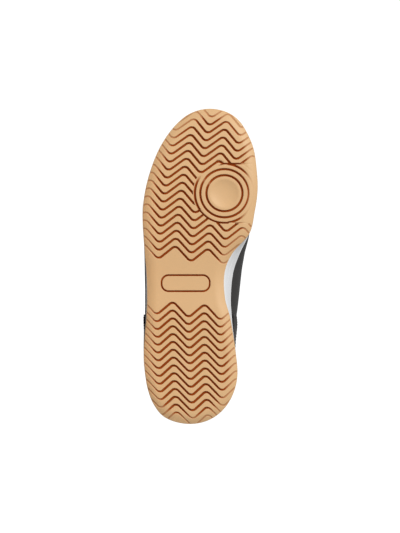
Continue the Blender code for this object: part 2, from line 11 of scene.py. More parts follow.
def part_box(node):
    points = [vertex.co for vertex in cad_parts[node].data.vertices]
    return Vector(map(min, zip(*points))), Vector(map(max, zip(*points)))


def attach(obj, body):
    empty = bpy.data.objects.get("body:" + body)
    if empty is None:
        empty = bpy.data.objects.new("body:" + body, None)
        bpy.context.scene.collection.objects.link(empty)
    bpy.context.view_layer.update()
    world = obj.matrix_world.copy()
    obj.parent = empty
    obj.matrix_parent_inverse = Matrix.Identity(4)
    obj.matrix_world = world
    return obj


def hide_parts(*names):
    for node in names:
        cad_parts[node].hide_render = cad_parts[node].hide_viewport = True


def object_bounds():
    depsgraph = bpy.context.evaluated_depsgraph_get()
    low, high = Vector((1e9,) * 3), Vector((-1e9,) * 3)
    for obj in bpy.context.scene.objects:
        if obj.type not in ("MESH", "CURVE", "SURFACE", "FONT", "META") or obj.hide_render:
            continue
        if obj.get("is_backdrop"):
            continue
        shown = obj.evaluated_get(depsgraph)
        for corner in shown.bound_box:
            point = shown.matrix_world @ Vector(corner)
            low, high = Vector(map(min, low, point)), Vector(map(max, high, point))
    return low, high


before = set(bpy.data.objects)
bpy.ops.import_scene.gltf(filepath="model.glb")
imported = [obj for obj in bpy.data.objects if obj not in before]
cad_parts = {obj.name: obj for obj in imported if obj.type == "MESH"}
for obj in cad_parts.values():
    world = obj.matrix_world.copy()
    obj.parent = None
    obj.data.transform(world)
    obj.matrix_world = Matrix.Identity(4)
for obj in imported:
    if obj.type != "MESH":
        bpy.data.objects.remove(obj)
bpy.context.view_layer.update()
for made in bpy.context.selected_objects:
    made.select_set(False)

MM = 0.001


# Outsole. The real one is a gum rubber cup sole plate, moulded whole with rows of zigzag grooves, a
# turned pivot point under the ball and a plain waist with a sunk pill line. It is cemented to the white
# side wall. The rows follow curves that no primitive holds, so its skin is laid out in mesh code.

SOLE_LENGTH = 300 * MM
BALL_WIDTH = 109 * MM
OUTSOLE_THICKNESS = 6 * MM
EDGE_ROLL_WIDTH = 10 * MM
EDGE_ROLL_HEIGHT = 3.6 * MM
TOE_SPRING = 9 * MM
ARCH_LIFT = 2 * MM
HEEL_BEVEL = 1.5 * MM

# The shoe is worked out as it stands, toe toward -X and lateral side toward +Y. It is then tipped onto its
# lateral side and let down until it touches at toe and heel.
TIPPED = math.radians(-88.25)
LET_DOWN = math.radians(0.40)

# along is the share of SOLE_LENGTH from the toe. The others are shares of BALL_WIDTH out from the
# fore-and-aft line, for the gum rubber and for the rim of the white side wall.
OUTLINE_COLUMNS = ("along", "gum_lateral", "gum_medial", "wall_lateral", "wall_medial")
OUTLINE = (
    (0.0000, -0.130, 0.130, -0.130, 0.130),
    (0.0145, 0.039, 0.299, 0.039, 0.299),
    (0.040, 0.136, 0.388, 0.136, 0.388),
    (0.080, 0.232, 0.458, 0.232, 0.458),
    (0.130, 0.315, 0.512, 0.315, 0.512),
    (0.190, 0.382, 0.536, 0.382, 0.536),
    (0.260, 0.434, 0.545, 0.434, 0.545),
    (0.330, 0.457, 0.519, 0.457, 0.519),
    (0.400, 0.450, 0.470, 0.452, 0.470),
    (0.460, 0.438, 0.326, 0.446, 0.392),
    (0.520, 0.423, 0.258, 0.443, 0.335),
    (0.600, 0.417, 0.260, 0.439, 0.313),
    (0.660, 0.424, 0.304, 0.441, 0.321),
    (0.720, 0.438, 0.333, 0.443, 0.337),
    (0.780, 0.447, 0.357, 0.448, 0.357),
    (0.840, 0.436, 0.370, 0.436, 0.370),
    (0.890, 0.412, 0.346, 0.412, 0.346),
    (0.940, 0.357, 0.278, 0.357, 0.278),
    (0.980, 0.258, 0.160, 0.258, 0.160),
    (1.000, 0.043, -0.043, 0.043, -0.043),
)


def values(columns, rows, name):
    return [row[columns.index(name)] for row in rows]


def smooth(xs, ys, x):
    """The smooth curve through the points (xs, ys), at one x or at an array of them."""
    xs, ys = np.array(xs, float), np.array(ys, float)
    x = np.clip(np.asarray(x, float), xs[0], xs[-1])
    k = np.clip(np.searchsorted(xs, x, side="right") - 1, 0, len(xs) - 2)
    high = np.minimum(np.arange(len(xs)) + 1, len(xs) - 1)
    low = np.maximum(np.arange(len(xs)) - 1, 0)
    slope = (ys[high] - ys[low]) / (xs[high] - xs[low])
    span = xs[k + 1] - xs[k]
    t = (x - xs[k]) / span
    return (
        (1 + 2 * t) * (1 - t) ** 2 * ys[k] + t * (1 - t) ** 2 * span * slope[k]
        + t * t * (3 - 2 * t) * ys[k + 1] + t * t * (t - 1) * span * slope[k + 1]
    )


def curve_of(columns, rows, name, at, key=None):
    """One column of a table as a smooth curve over its key, the first column unless another is named."""
    return smooth(values(columns, rows, key or columns[0]), values(columns, rows, name), at)


def distances(points):
    """How far along a line of points each of them lies."""
    return np.concatenate([[0], np.cumsum(np.linalg.norm(np.diff(points, axis=0), axis=1))])


def at_places(places, walked, rows):
    """The rows of an array at places among the distances walked to each row."""
    return np.stack([np.interp(places, walked, column) for column in rows.T], -1)


def plan(points):
    return np.array([p[:2] for p in points])


def along_of(share):
    return (share - 0.5) * SOLE_LENGTH


def share_of(x):
    return x / SOLE_LENGTH + 0.5


def outline(kind, angle):
    """The loop of the gum or the wall at angles round it: 0 at the toe, positive on the lateral side."""
    angles = [math.acos(1 - 2 * share) for share in values(OUTLINE_COLUMNS, OUTLINE, "along")]
    lateral = values(OUTLINE_COLUMNS, OUTLINE, kind + "_lateral")
    medial = values(OUTLINE_COLUMNS, OUTLINE, kind + "_medial")
    angles = [-a for a in angles[:0:-1]] + angles + [2 * math.pi - angles[-2]]
    across = [-m for m in medial[:0:-1]] + lateral + [-medial[-2]]
    angles.insert(0, -angles[-1])
    across.insert(0, lateral[-2])
    return np.stack([-SOLE_LENGTH / 2 * np.cos(angle), BALL_WIDTH * smooth(angles, across, angle)], -1)


def inset(kind, angle, distance, step=0.01):
    """The loop moved inward by a distance, square to itself."""
    tangent = outline(kind, angle + step) - outline(kind, angle - step)
    tangent /= np.linalg.norm(tangent, axis=-1, keepdims=True)
    inward = np.stack([tangent[..., 1], -tangent[..., 0]], -1)
    return outline(kind, angle) + distance * inward


def spring(x):
    return np.maximum(0.0, (0.33 - share_of(x)) / 0.33) ** 2 * TOE_SPRING


def ground(x):
    share = share_of(x)
    arch = np.maximum(0.0, 1 - ((share - 0.535) / 0.13) ** 2) ** 2 * ARCH_LIFT
    heel = np.maximum(0.0, (share - 0.90) / 0.10) ** 2 * HEEL_BEVEL
    return spring(x) + arch + heel


def ways_of(curve, closed):
    """The unit ways ahead and to the left at each point of a plan curve."""
    ahead = np.roll(curve, -1, 0) - np.roll(curve, 1, 0)
    if not closed:
        ahead[0], ahead[-1] = curve[1] - curve[0], curve[-1] - curve[-2]
    ahead /= np.linalg.norm(ahead, axis=1, keepdims=True)
    return ahead, np.stack([-ahead[:, 1], ahead[:, 0]], 1)


def depth_inside(curve, closed, points):
    """How far points lie to the left of a plan curve that is given by close samples, and where along it."""
    tree = KDTree(len(curve))
    for i, (x, y) in enumerate(curve):
        tree.insert((x, y, 0), i)
    tree.balance()
    nearest = np.array([tree.find((x, y, 0))[1] for x, y in points])
    ahead, left = ways_of(curve, closed)
    away = points - curve[nearest]
    place = nearest + (away * ahead[nearest]).sum(1) / np.linalg.norm(curve[1] - curve[0])
    return (away * left[nearest]).sum(1), place


class Skin:
    """A plan mesh in the making: faces, and points of x, y, how deep each is sunk and how much painted shade
    it takes, below zero a painted highlight.
    """

    def __init__(self):
        self.points = []
        self.faces = []

    def grid(self, rows, closed=False):
        """Adds a net of points, a list of rows, and gives each row's numbers."""
        numbers = []
        for row in rows:
            numbers.append(list(range(len(self.points), len(self.points) + len(row))))
            self.points.extend(map(tuple, row))
        for a, b in zip(numbers, numbers[1:]):
            for j in range(len(a) if closed else len(a) - 1):
                k = (j + 1) % len(a)
                self.faces.append((a[j], a[k], b[k], b[j]))
        return numbers

    def trim(self, faces, field, level):
        """The part of some faces where a field is above a level, and the new points on its edge."""
        kept, edge = [], {}
        for face in faces:
            inside = [field[v] > level for v in face]
            if all(inside):
                kept.append(face)
            elif any(inside):
                corners = []
                for i, v in enumerate(face):
                    w = face[(i + 1) % len(face)]
                    if inside[i]:
                        corners.append(v)
                    if inside[i] != inside[(i + 1) % len(face)]:
                        key = (min(v, w), max(v, w))
                        if key not in edge:
                            t = (level - field[key[0]]) / (field[key[1]] - field[key[0]])
                            t = min(max(t, 0.02), 0.98)
                            p, q = self.points[key[0]], self.points[key[1]]
                            edge[key] = len(self.points)
                            self.points.append(tuple(a + (b - a) * t for a, b in zip(p, q)))
                        corners.append(edge[key])
                if len(corners) > 2:
                    kept.append(tuple(corners))
        return kept, list(edge.values())

    def zip(self, one, one_at, other, other_at, closed):
        """Joins two rows of points with triangles, in the order of their places along one curve."""
        one = [v for _, v in sorted(zip(one_at, one))]
        other = [v for _, v in sorted(zip(other_at, other))]
        one_at, other_at = sorted(one_at), sorted(other_at)
        if closed:
            one, other = one + one[:1], other + other[:1]
            one_at, other_at = one_at + [1e9], other_at + [1e9]
        i = j = 0
        while i < len(one) - 1 or j < len(other) - 1:
            if j == len(other) - 1 or (i < len(one) - 1 and one_at[i + 1] <= other_at[j + 1]):
                self.faces.append((one[i], one[i + 1], other[j]))
                i += 1
            else:
                self.faces.append((one[i], other[j + 1], other[j]))
                j += 1


# The grooves. A row is a zigzag with round corners, and its places come from the crest line. across is a
# share of BALL_WIDTH and period a length in mm. tilt turns the row and slant its waves, in degrees.
CREST_COLUMNS = ("along", "across", "tilt", "slant", "period")
CRESTS = (
    (-0.10, -0.075, 4.6, 12.0, 31.0),
    (0.000, -0.013, 4.6, 12.0, 31.0),
    (0.060, 0.026, 4.6, 11.4, 31.0),
    (0.136, 0.060, 4.5, 10.6, 30.9),
    (0.211, 0.097, 4.5, 9.4, 30.9),
    (0.286, 0.127, 4.5, 8.0, 31.0),
    (0.363, 0.152, 4.5, 6.2, 31.0),
    (0.440, 0.171, 4.8, 4.2, 30.9),
    (0.615, 0.193, 4.9, 2.4, 30.3),
    (0.689, 0.191, 5.1, 0.2, 30.0),
    (0.764, 0.187, 5.3, -1.3, 29.9),
    (0.838, 0.179, 5.5, -2.0, 29.8),
    (0.913, 0.168, 5.6, -3.0, 29.8),
    (1.000, 0.151, 5.6, -3.8, 29.8),
)
WAVE_HEIGHT = 14.5 * MM
WAVE_FORWARD = 1.5 * MM
CORNER_RADIUS = 4.2 * MM
CORNER_STEPS = 8
LEG_STEPS = 6
GROOVE_DEPTH = 2.0 * MM
FOREFOOT_LAST_ROW = 0.4400
FOREFOOT_PITCH = 7.584 * MM / SOLE_LENGTH
FOREFOOT_ROWS = 21
HEEL_FIRST_ROW = 0.6161
HEEL_PITCH = 7.41 * MM / SOLE_LENGTH
HEEL_ROWS = 15
# how many steps the net takes over a ridge, and over the plain waist
RIDGE_STEPS = 3
WAIST_STEPS = 30
# A cut through a groove: how far back in mm, and the share of the depth, which also sets its painted shade.
# The wall toward the toe is steep, the other one leans, and a low bead runs along either lip, painted lighter
# as a highlight.
GROOVE_PROFILE = (
    (-2.10, 0), (-1.60, -0.045), (-1.32, -0.03), (-1.08, 0.06), (-0.95, 0.28), (-0.84, 0.70), (-0.70, 0.94),
    (-0.40, 1), (0.34, 1), (0.60, 0.90), (0.86, 0.56), (1.10, 0.22), (1.30, 0.02), (1.60, -0.055), (2.40, 0),
)


def wave_row(share, shift):
    """The points of the row at a share of the length, moved back by a distance square to its line."""
    across, tilt, slant, period = (
        float(curve_of(CREST_COLUMNS, CRESTS, name, share)) for name in CREST_COLUMNS[1:]
    )
    half = period * MM / 2
    tilt, slant = math.radians(tilt), math.radians(slant)
    lean = math.atan(WAVE_HEIGHT / half)
    line = []
    for k in range(-4, 6):
        side = 1 if k % 2 == 0 else -1
        middle = (0 if k % 2 == 0 else WAVE_HEIGHT) + side * CORNER_RADIUS / math.cos(lean)
        corner = []
        for i in range(CORNER_STEPS + 1):
            p = lean * (2 * i / CORNER_STEPS - 1)
            corner.append((
                k * half + CORNER_RADIUS * math.sin(p), middle - side * CORNER_RADIUS * math.cos(p), side * p,
            ))
        if line:
            a0, b0, p0 = line[-1]
            for i in range(1, LEG_STEPS + 1):
                t = i / (LEG_STEPS + 1)
                line.append((a0 + t * (corner[0][0] - a0), b0 + t * (corner[0][1] - b0), p0))
        line.extend(corner)
    line = np.array(line)
    a = line[:, 0] - shift * np.sin(line[:, 2])
    b = line[:, 1] + shift * np.cos(line[:, 2]) - WAVE_FORWARD
    x = along_of(share) + a * math.sin(tilt) + b * math.cos(slant)
    y = across * BALL_WIDTH - a * math.cos(tilt) + b * math.sin(slant)
    return np.stack([x, y], 1)


# a row's points, sunk to a depth and given as much painted shade
def with_depth(row, depth):
    return [(x, y, depth, depth) for x, y in row]


forefoot_rows = [FOREFOOT_LAST_ROW - i * FOREFOOT_PITCH for i in range(FOREFOOT_ROWS)][::-1]
heel_rows = [HEEL_FIRST_ROW + i * HEEL_PITCH for i in range(HEEL_ROWS)]
net = []
for share in forefoot_rows + heel_rows:
    lines = [(wave_row(share, back * MM), depth) for back, depth in GROOVE_PROFILE]
    if net:
        last = plan(net[-1])
        steps = WAIST_STEPS if share == heel_rows[0] else RIDGE_STEPS
        for i in range(1, steps):
            net.append(with_depth(last + (lines[0][0] - last) * i / steps, 0))
    net.extend(with_depth(row, depth) for row, depth in lines)
last = plan(net[-1])
for i in range(1, 6):
    net.append(with_depth(last + np.array([6 * MM * i, 0]), 0))

skin = Skin()
skin.grid(net)

# The pivot point: turned grooves round a dish. Its border is a loop of the ball's line, part circle and
# part straight break to the medial edge. turn is in degrees, 0 toward the medial edge and 90 to the toe.
PIVOT = np.array([along_of(0.2707), -0.255 * BALL_WIDTH])
DISH_RADIUS = 13.4 * MM
DISH_DEPTH = 2.3 * MM
RING_RADII = (17.0, 22.8, 27.9)
BREAK_FRONT = 28.1 * MM
BREAK_BACK = 28.0 * MM
# how far out the rows stop, in mm, and how deep and wide the border's own groove is there
BORDER_COLUMNS = ("turn", "radius", "depth", "width")
BORDER = (
    (90, 28.1, 1.0, 0.9), (93, 28.1, 1.0, 0.9), (96, 28.1, 0.0, 0.5), (106, 27.6, 0.0, 0.4),
    (117, 26.9, 0.0, 0.4),
    (131, 27.0, 0.0, 0.4), (138, 27.8, 0.0, 0.4), (143, 29.5, 0.0, 0.4), (209, 29.5, 0.0, 0.4),
    (214, 28.3, 1.0, 1.0), (225, 28.1, 1.0, 1.0), (270, 28.0, 1.0, 1.0),
)
# how deep and wide the straight breaks are at distances out from the pivot's middle, in mm
BREAK_COLUMNS = ("out", "front_depth", "front_width", "back_depth", "back_width")
BREAKS = (
    (0, 1.0, 0.9, 1.0, 1.0), (3, 1.0, 0.9, 1.0, 1.0), (5, 1.0, 0.9, 0.1, 0.4), (8, 1.0, 0.9, 0.1, 0.4),
    (13, 1.0, 0.9, 0.5, 0.5), (16, 0.5, 0.9, 0.5, 0.8), (20, 0.4, 0.9, 0.35, 0.8), (45, 0.3, 0.9, 0.3, 0.8),
)
BORDER_OUT = 45 * MM
BORDER_STEP = 0.25 * MM


def turned(radius, turn):
    return PIVOT + np.stack([-radius * np.sin(turn), -radius * np.cos(turn)], -1)


def straight(back, out):
    return np.stack([np.full(len(out), PIVOT[0] + back), PIVOT[1] - out], -1)


border_turn = np.radians(np.linspace(90, 270, 361))
border_turns = np.radians(values(BORDER_COLUMNS, BORDER, "turn"))
border_radius, border_depth, border_width = (
    np.interp(border_turn, border_turns, values(BORDER_COLUMNS, BORDER, name)) for name in BORDER_COLUMNS[1:]
)
out_to_edge = np.linspace(BORDER_OUT, BORDER_STEP, 180)
border = np.concatenate([
    straight(-BREAK_FRONT, out_to_edge), turned(border_radius * MM, border_turn),
    straight(BREAK_BACK, out_to_edge[::-1]),
])
break_outs = values(BREAK_COLUMNS, BREAKS, "out")
breaks = {
    name: np.interp(out_to_edge / MM, break_outs, values(BREAK_COLUMNS, BREAKS, name))
    for name in BREAK_COLUMNS[1:]
}
border_depth = np.concatenate([breaks["front_depth"], border_depth, breaks["back_depth"][::-1]])
border_width = np.concatenate([breaks["front_width"], border_width, breaks["back_width"][::-1]])
stride = distances(border)
even = np.linspace(0, stride[-1], int(stride[-1] / BORDER_STEP))[::-1]
border = at_places(even, stride, border)
border_depth = np.interp(even, stride, border_depth)
border_width = np.interp(even, stride, border_width)


# a band of the border's groove: its distance out from the border in mm and share of the depth
BAND = ((1.15, 0), (0.9, 0.1), (0.72, 0.6), (0.5, 1), (-0.5, 1), (-0.72, 0.6), (-0.9, 0.1), (-1.15, 0))


def used(faces):
    return sorted({v for face in faces for v in face})


def inlay(inner_faces, outer_faces, curve, depths, widths, closed, every=4):
    """Sets one mesh into another on the left of a curve, with the curve's own groove between them."""
    _, left = ways_of(curve, closed)
    taken = list(range(0, len(curve), every))
    kept = []
    for faces, way in ((outer_faces, -1), (inner_faces, 1)):
        spots = used(faces)
        inside, place = depth_inside(curve, closed, plan([skin.points[v] for v in spots]))
        band = np.interp(place, np.arange(len(curve)), widths) * BAND[0][0] * MM
        kept.append(skin.trim(faces, dict(zip(spots, way * inside - band)), 0.25 * MM))
    skin.faces = kept[0][0] + kept[1][0]
    rows = [
        [(*(curve[i] - left[i] * out * widths[i] * MM), share * depths[i], share * depths[i]) for i in taken]
        for out, share in BAND
    ]
    numbers = skin.grid(rows, closed)
    meetings = ((kept[0][1], numbers[0], numbers[1]), (kept[1][1], numbers[-1], numbers[-2]))
    for edge, line, next_line in meetings:
        _, place = depth_inside(curve, closed, plan([skin.points[v] for v in edge]))
        skin.zip(edge, list(place), line, [float(i) for i in taken], closed)
        # grooves that meet the border run on into its groove, with their painted shade
        order = np.argsort(place)
        carried = np.interp(taken, place[order], np.array([skin.points[v][2] for v in edge])[order])
        for number, depth in [*zip(line, carried), *zip(next_line, carried)]:
            x, y, own, own_painted_shade = skin.points[number]
            skin.points[number] = (x, y, max(own, depth), max(own_painted_shade, depth))


# the dish and the rings, from the middle out: radius, depth and painted shade
rings = [
    (share * DISH_RADIUS, (1 - share ** 2.4) * DISH_DEPTH / GROOVE_DEPTH, 0)
    for share in (0.03, 0.14, 0.25, 0.36, 0.47, 0.57, 0.66, 0.74, 0.81, 0.87, 0.92)
]
rings += [(DISH_RADIUS * 0.97, 0.11, 0), (DISH_RADIUS * 1.01, 0.025, 0), (DISH_RADIUS * 1.06, 0, 0)]
for number, radius in enumerate(RING_RADII):
    rings += [((radius + back) * MM, depth, depth) for back, depth in GROOVE_PROFILE]
    if number < 2:
        rings += [(((radius + RING_RADII[number + 1]) / 2) * MM, 0, 0)]
FOURTH_RING = 33.0
FOURTH_DEPTH = 0.45
for back, depth in GROOVE_PROFILE:
    rings.append(((FOURTH_RING + back) * MM, depth * FOURTH_DEPTH, depth * FOURTH_DEPTH))
rings += [(r * MM, 0, 0) for r in (36, 38, 40, 43, 46, 50)]
ring_turn = np.linspace(0, 2 * math.pi, 181)[:-1]
turns_deg = np.degrees(ring_turn)
# how strong the third ring is round its way: turn in degrees, and share of its depth
THIRD_RING = (
    (0, 0.5), (30, 0.6), (50, 0.9), (80, 1), (97, 1), (104, 0), (142, 0), (150, 0.35), (166, 1), (288, 1),
    (305, 0.7), (330, 0.5), (360, 0.5),
)
third = np.interp(turns_deg, [turn for turn, _ in THIRD_RING], [part for _, part in THIRD_RING])
# the two inner rings are made shallower, with less painted shade, toward the toe's lateral side
ring_shallowing = 1 - 0.5 * np.exp(-((turns_deg - 147) / 9) ** 2)
fourth = np.clip(1 - np.abs(turns_deg - 42) / 30, 0, 1)
# where the dish ends, and the radii in mm between which a row belongs to the third or the fourth ring
DISH_END = 16 * MM
THIRD_BAND = (26.5, 29.3)
FOURTH_BAND = (31.5, 34.5)
polar = []
for radius, depth, painted_shade_and_highlight in rings:
    strength = np.where(radius > DISH_END, ring_shallowing, 1)
    if THIRD_BAND[0] * MM < radius < THIRD_BAND[1] * MM:
        strength = third
    if FOURTH_BAND[0] * MM < radius < FOURTH_BAND[1] * MM:
        strength = fourth
    spots = turned(radius, ring_turn)
    polar.append([(x, y, depth * s, painted_shade_and_highlight * s) for (x, y), s in zip(spots, strength)])
row_faces = skin.faces
skin.faces = []
numbers = skin.grid(polar, closed=True)
skin.points.append((*PIVOT, DISH_DEPTH / GROOVE_DEPTH, 0))
hub = len(skin.points) - 1
skin.faces += [(numbers[0][j], numbers[0][(j + 1) % 180], hub) for j in range(180)]
inlay(skin.faces, row_faces, border, border_depth, border_width, False)

# The pill line sunk into the plain waist
PILL_CENTRE = np.array([along_of(0.5546), 0.082 * BALL_WIDTH])
PILL_LENGTH = 45.6 * MM
PILL_WIDTH = 15.2 * MM
PILL_CORNER = 6.6 * MM
PILL_LINE_DEPTH = 0.9
PILL_LINE_WIDTH = 1.0
pill = []
for sx, sy, start in ((1, -1, 0), (1, 1, 90), (-1, 1, 180), (-1, -1, 270)):
    middle = PILL_CENTRE + [sx * (PILL_WIDTH / 2 - PILL_CORNER), sy * (PILL_LENGTH / 2 - PILL_CORNER)]
    turn = np.radians(start - 90 + np.linspace(0, 90, 16))
    pill.append(middle + PILL_CORNER * np.stack([np.cos(turn), np.sin(turn)], 1))
pill = np.concatenate(pill + [pill[0][:1]])
stride = distances(pill)
pill = at_places(np.linspace(0, stride[-1], 481)[:-1], stride, pill)


def by_pill(number):
    return (np.abs(np.array(skin.points[number][:2]) - PILL_CENTRE) < (PILL_WIDTH, PILL_LENGTH)).all()


near = [face for face in skin.faces if all(by_pill(v) for v in face)]
far = set(skin.faces) - set(near)
inlay(near, near, pill, np.full(len(pill), PILL_LINE_DEPTH), np.full(len(pill), PILL_LINE_WIDTH), True)
skin.faces += list(far)


# The skin is cut to the outline, raised to its height and closed by a rounded side and a flat top
EDGE_START = 0.8 * MM
# distance in from the edge in mm, and the share of the side's height there
EDGE_ROUND = ((0.42, 0.10), (0.14, 0.26), (0.0, 0.48), (0.0, 0.86), (0.3, 1.0))
edge_curve = outline("gum", np.linspace(math.pi, -math.pi, 2401)[:-1])
spots = used(skin.faces)
inside, _ = depth_inside(edge_curve, True, plan([skin.points[v] for v in spots]))
skin.faces, rim = skin.trim(skin.faces, dict(zip(spots, inside)), EDGE_START)
_, rim_place = depth_inside(edge_curve, True, plan([skin.points[v] for v in rim]))
rim = [v for _, v in sorted(zip(rim_place, rim))]
spots = used(skin.faces)
renumbered = {v: i for i, v in enumerate(spots)}
faces = [tuple(renumbered[v] for v in face) for face in skin.faces]
flat = np.array([skin.points[v] for v in spots])
inside, place = depth_inside(edge_curve, True, flat[:, :2])


def roll(distance):
    return EDGE_ROLL_HEIGHT * np.maximum(0.0, 1 - distance / EDGE_ROLL_WIDTH) ** 2


FADE_START = 3.5 * MM
FADE_WIDTH = 13 * MM


def fade(distance):
    """How much of a groove is left near the rolled edge, where it grows shallow and narrow."""
    t = np.clip((distance - FADE_START) / FADE_WIDTH, 0, 1)
    return t * t * (3 - 2 * t)


# the pocket where the front break leaves the rows, sunk and darkened with painted shade: along and across in
# mm, from the pivot's middle
POCKETS = ((-30.2, 6.6), (-30.3, 5.2), (-29.9, 3.9), (-29.3, 2.9), (-28.6, 2.1))
POCKET_SIZE = 1.15 * MM
POCKET_DEPTH = 1.8 * MM
# what the rolled edge leaves of a groove's depth and of its painted shade, and how much narrower it gets
LEAST_DEPTH = 0.22
LEAST_PAINTED_SHADE = 0.36
NARROWING = 1.6
left_over = fade(inside)
share = flat[:, 2]
narrow = np.where(flat[:, 3] > 0, np.clip(share, 0, 1) ** (1 + NARROWING * (1 - left_over)), share)
sunk = narrow * GROOVE_DEPTH * (LEAST_DEPTH + (1 - LEAST_DEPTH) * left_over)
# each groove's painted shade, and each lip's painted highlight, weaker toward the rolled edge
painted_shade_and_highlight = np.where(flat[:, 3] == 0, 0, narrow) * (LEAST_PAINTED_SHADE + (1 - LEAST_PAINTED_SHADE) * left_over)
for back, out in POCKETS:
    away = np.linalg.norm(flat[:, :2] - PIVOT - np.array([back, out]) * MM, axis=1)
    hollow = np.exp(-(away / POCKET_SIZE) ** 2)
    sunk = np.maximum(sunk, hollow * POCKET_DEPTH)
    # the pocket is darkened with painted shade too
    painted_shade_and_highlight = np.maximum(painted_shade_and_highlight, hollow)
points = np.stack([flat[:, 0], flat[:, 1], ground(flat[:, 0]) + roll(inside) + sunk], 1)
rim = np.array([renumbered[v] for v in rim])
start = points[rim]
whole = place[rim] % len(edge_curve)
at_edge = at_places(whole, np.arange(len(edge_curve) + 1), np.concatenate([edge_curve, edge_curve[:1]]))
inward = (start[:, :2] - at_edge) / EDGE_START
top = spring(start[:, 0]) + OUTSOLE_THICKNESS
ring = rim
for distance, share in EDGE_ROUND:
    spot = at_edge + inward * distance * MM
    new = np.concatenate([spot, (start[:, 2] + (top - start[:, 2]) * share)[:, None]], 1)
    numbers = np.arange(len(points), len(points) + len(rim))
    points = np.concatenate([points, new])
    painted_shade_and_highlight = np.concatenate([painted_shade_and_highlight, np.zeros(len(rim))])
    follow = np.roll(np.arange(len(rim)), -1)
    faces += [(int(ring[j]), int(ring[k]), int(numbers[k]), int(numbers[j])) for j, k in enumerate(follow)]
    ring = numbers


# The outsole's box in the frame says where the laid shoe is
laid_way = Matrix.Rotation(LET_DOWN, 4, "Y") @ Matrix.Rotation(TIPPED, 4, "X")
laid_points = points @ np.array(laid_way.to_3x3()).T
low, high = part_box("outsole")
middle_x = (laid_points[:, 0].min() + laid_points[:, 0].max()) / 2
LAID_DOWN = Matrix.Translation((
    (low[0] + high[0]) / 2 - middle_x, low[1] - laid_points[:, 1].min(), low[2] - laid_points[:, 2].min(),
)) @ laid_way


def linked(name, mesh):
    """A smooth object for a mesh, in the scene."""
    mesh.shade_smooth()
    made = bpy.data.objects.new(name, mesh)
    bpy.context.scene.collection.objects.link(made)
    return made


def piece_from(name, points, faces, closed_by=None):
    """A mesh in its place on the laid shoe, with its faces outward and smooth."""
    mesh = bpy.data.meshes.new(name)
    mesh.from_pydata([tuple(p) for p in points], [], faces)
    shape = bmesh.new()
    shape.from_mesh(mesh)
    if closed_by is not None:
        shape.verts.ensure_lookup_table()
        ring = [shape.verts[int(i)] for i in closed_by]
        rim = [shape.edges.get((a, b)) for a, b in zip(ring, ring[1:] + ring[:1])]
        bmesh.ops.triangle_fill(shape, edges=rim, use_beauty=True)
    bmesh.ops.recalc_face_normals(shape, faces=shape.faces)
    if shape.calc_volume(signed=True) < 0:
        bmesh.ops.reverse_faces(shape, faces=shape.faces)
    bmesh.ops.transform(shape, matrix=LAID_DOWN, verts=shape.verts)
    shape.to_mesh(mesh)
    shape.free()
    return linked(name, mesh)


outsole = piece_from("gum_outsole", points, faces, closed_by=ring)
# the painted groove shade and lip highlight go to the gum's material as a point attribute
painted_shade_layer = outsole.data.attributes.new("painted_shade_and_highlight", "FLOAT", "POINT")
painted_shade_layer.data.foreach_set("value", painted_shade_and_highlight.astype(np.float32))


def srgb(red, green, blue):
    """A colour as read off a screen, 0 to 255, for a shader."""
    shares = [c / 255 for c in (red, green, blue)]
    return (*(((c + 0.055) / 1.055) ** 2.4 if c > 10 / 255 else c / 12.92 for c in shares), 1)


class Paint:
    """A material or a world in the making, with short ways to add its nodes. Each gives its output."""

    def __init__(self, made, shader="Principled BSDF"):
        made.use_nodes = True
        self.made = made
        self.shader = made.node_tree.nodes[shader]

    def fill(self, node, inputs):
        for name, value in inputs.items():
            if isinstance(value, bpy.types.NodeSocket):
                self.made.node_tree.links.new(value, node.inputs[name])
            else:
                node.inputs[name].default_value = value

    def add(self, kind, output, inputs, **settings):
        node = self.made.node_tree.nodes.new("ShaderNode" + kind)
        for name, value in settings.items():
            setattr(node, name, value)
        self.fill(node, inputs)
        return node.outputs[output]

    def place(self):
        return self.add("TexCoord", "Object", {})

    def cloth_uv(self):
        return self.add("UVMap", "UV", {}, uv_map="cloth")

    def noise(self, vector, scale, detail):
        return self.add("TexNoise", "Fac", {"Vector": vector, "Scale": scale, "Detail": detail})

    def mix(self, factor, a, b):
        return self.add("Mix", "Result", {"Factor": factor, "A": a, "B": b}, data_type="RGBA")

    def ramp(self, value, start=0.0, stop=1.0, to_start=0.0, to_stop=1.0):
        return self.add("MapRange", "Result", {
            "Value": value, "From Min": start, "From Max": stop, "To Min": to_start, "To Max": to_stop,
        })

    def bump(self, height, strength, distance):
        return self.add("Bump", "Normal", {"Height": height, "Strength": strength, "Distance": distance})

    def shade(self, inputs):
        """Fills the shader's own inputs and gives the material."""
        self.fill(self.shader, inputs)
        return self.made


def gum_finish():
    paint = Paint(bpy.data.materials.new("gum_rubber_moulded"))
    place = paint.place()
    cloud = paint.noise(place, 22.0, 4.0)
    ridge = paint.mix(cloud, srgb(220, 179, 130), srgb(213, 171, 121))
    # The grooves and the pocket are darkened to a red-brown with painted shade and less specular, and the
    # lips are lightened with a painted highlight, both read from this point attribute.
    sunk = paint.add("Attribute", "Fac", {}, attribute_name="painted_shade_and_highlight")
    # painted highlight along the groove lips
    light = paint.mix(paint.ramp(sunk, 0.0, -0.035), ridge, srgb(246, 213, 173))
    # painted shade deep in the grooves
    steps = paint.ramp(sunk, 0.05, 0.62)
    return paint.shade({
        "Base Color": paint.mix(steps, light, srgb(154, 68, 12)),
        "Specular IOR Level": paint.ramp(steps, to_start=0.5, to_stop=0.08),
        "Normal": paint.bump(paint.noise(place, 1400.0, 2.0), 0.2, 0.0002),
        "Roughness": paint.ramp(cloud, to_start=0.50, to_stop=0.60),
    })


outsole.data.materials.append(gum_finish())
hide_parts("outsole")
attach(outsole, "root")


# Midsole. The white side wall is a moulded rubber cup that holds the upper's foot. It flares out from
# the gum's edge, most at the waist, and ends in a raised lip. It is cemented to outsole and upper.

CUP_BOTTOM = OUTSOLE_THICKNESS + 0.3 * MM
CUP_TOP = CUP_BOTTOM + 21 * MM
CUP_INSIDE = CUP_BOTTOM + 8 * MM
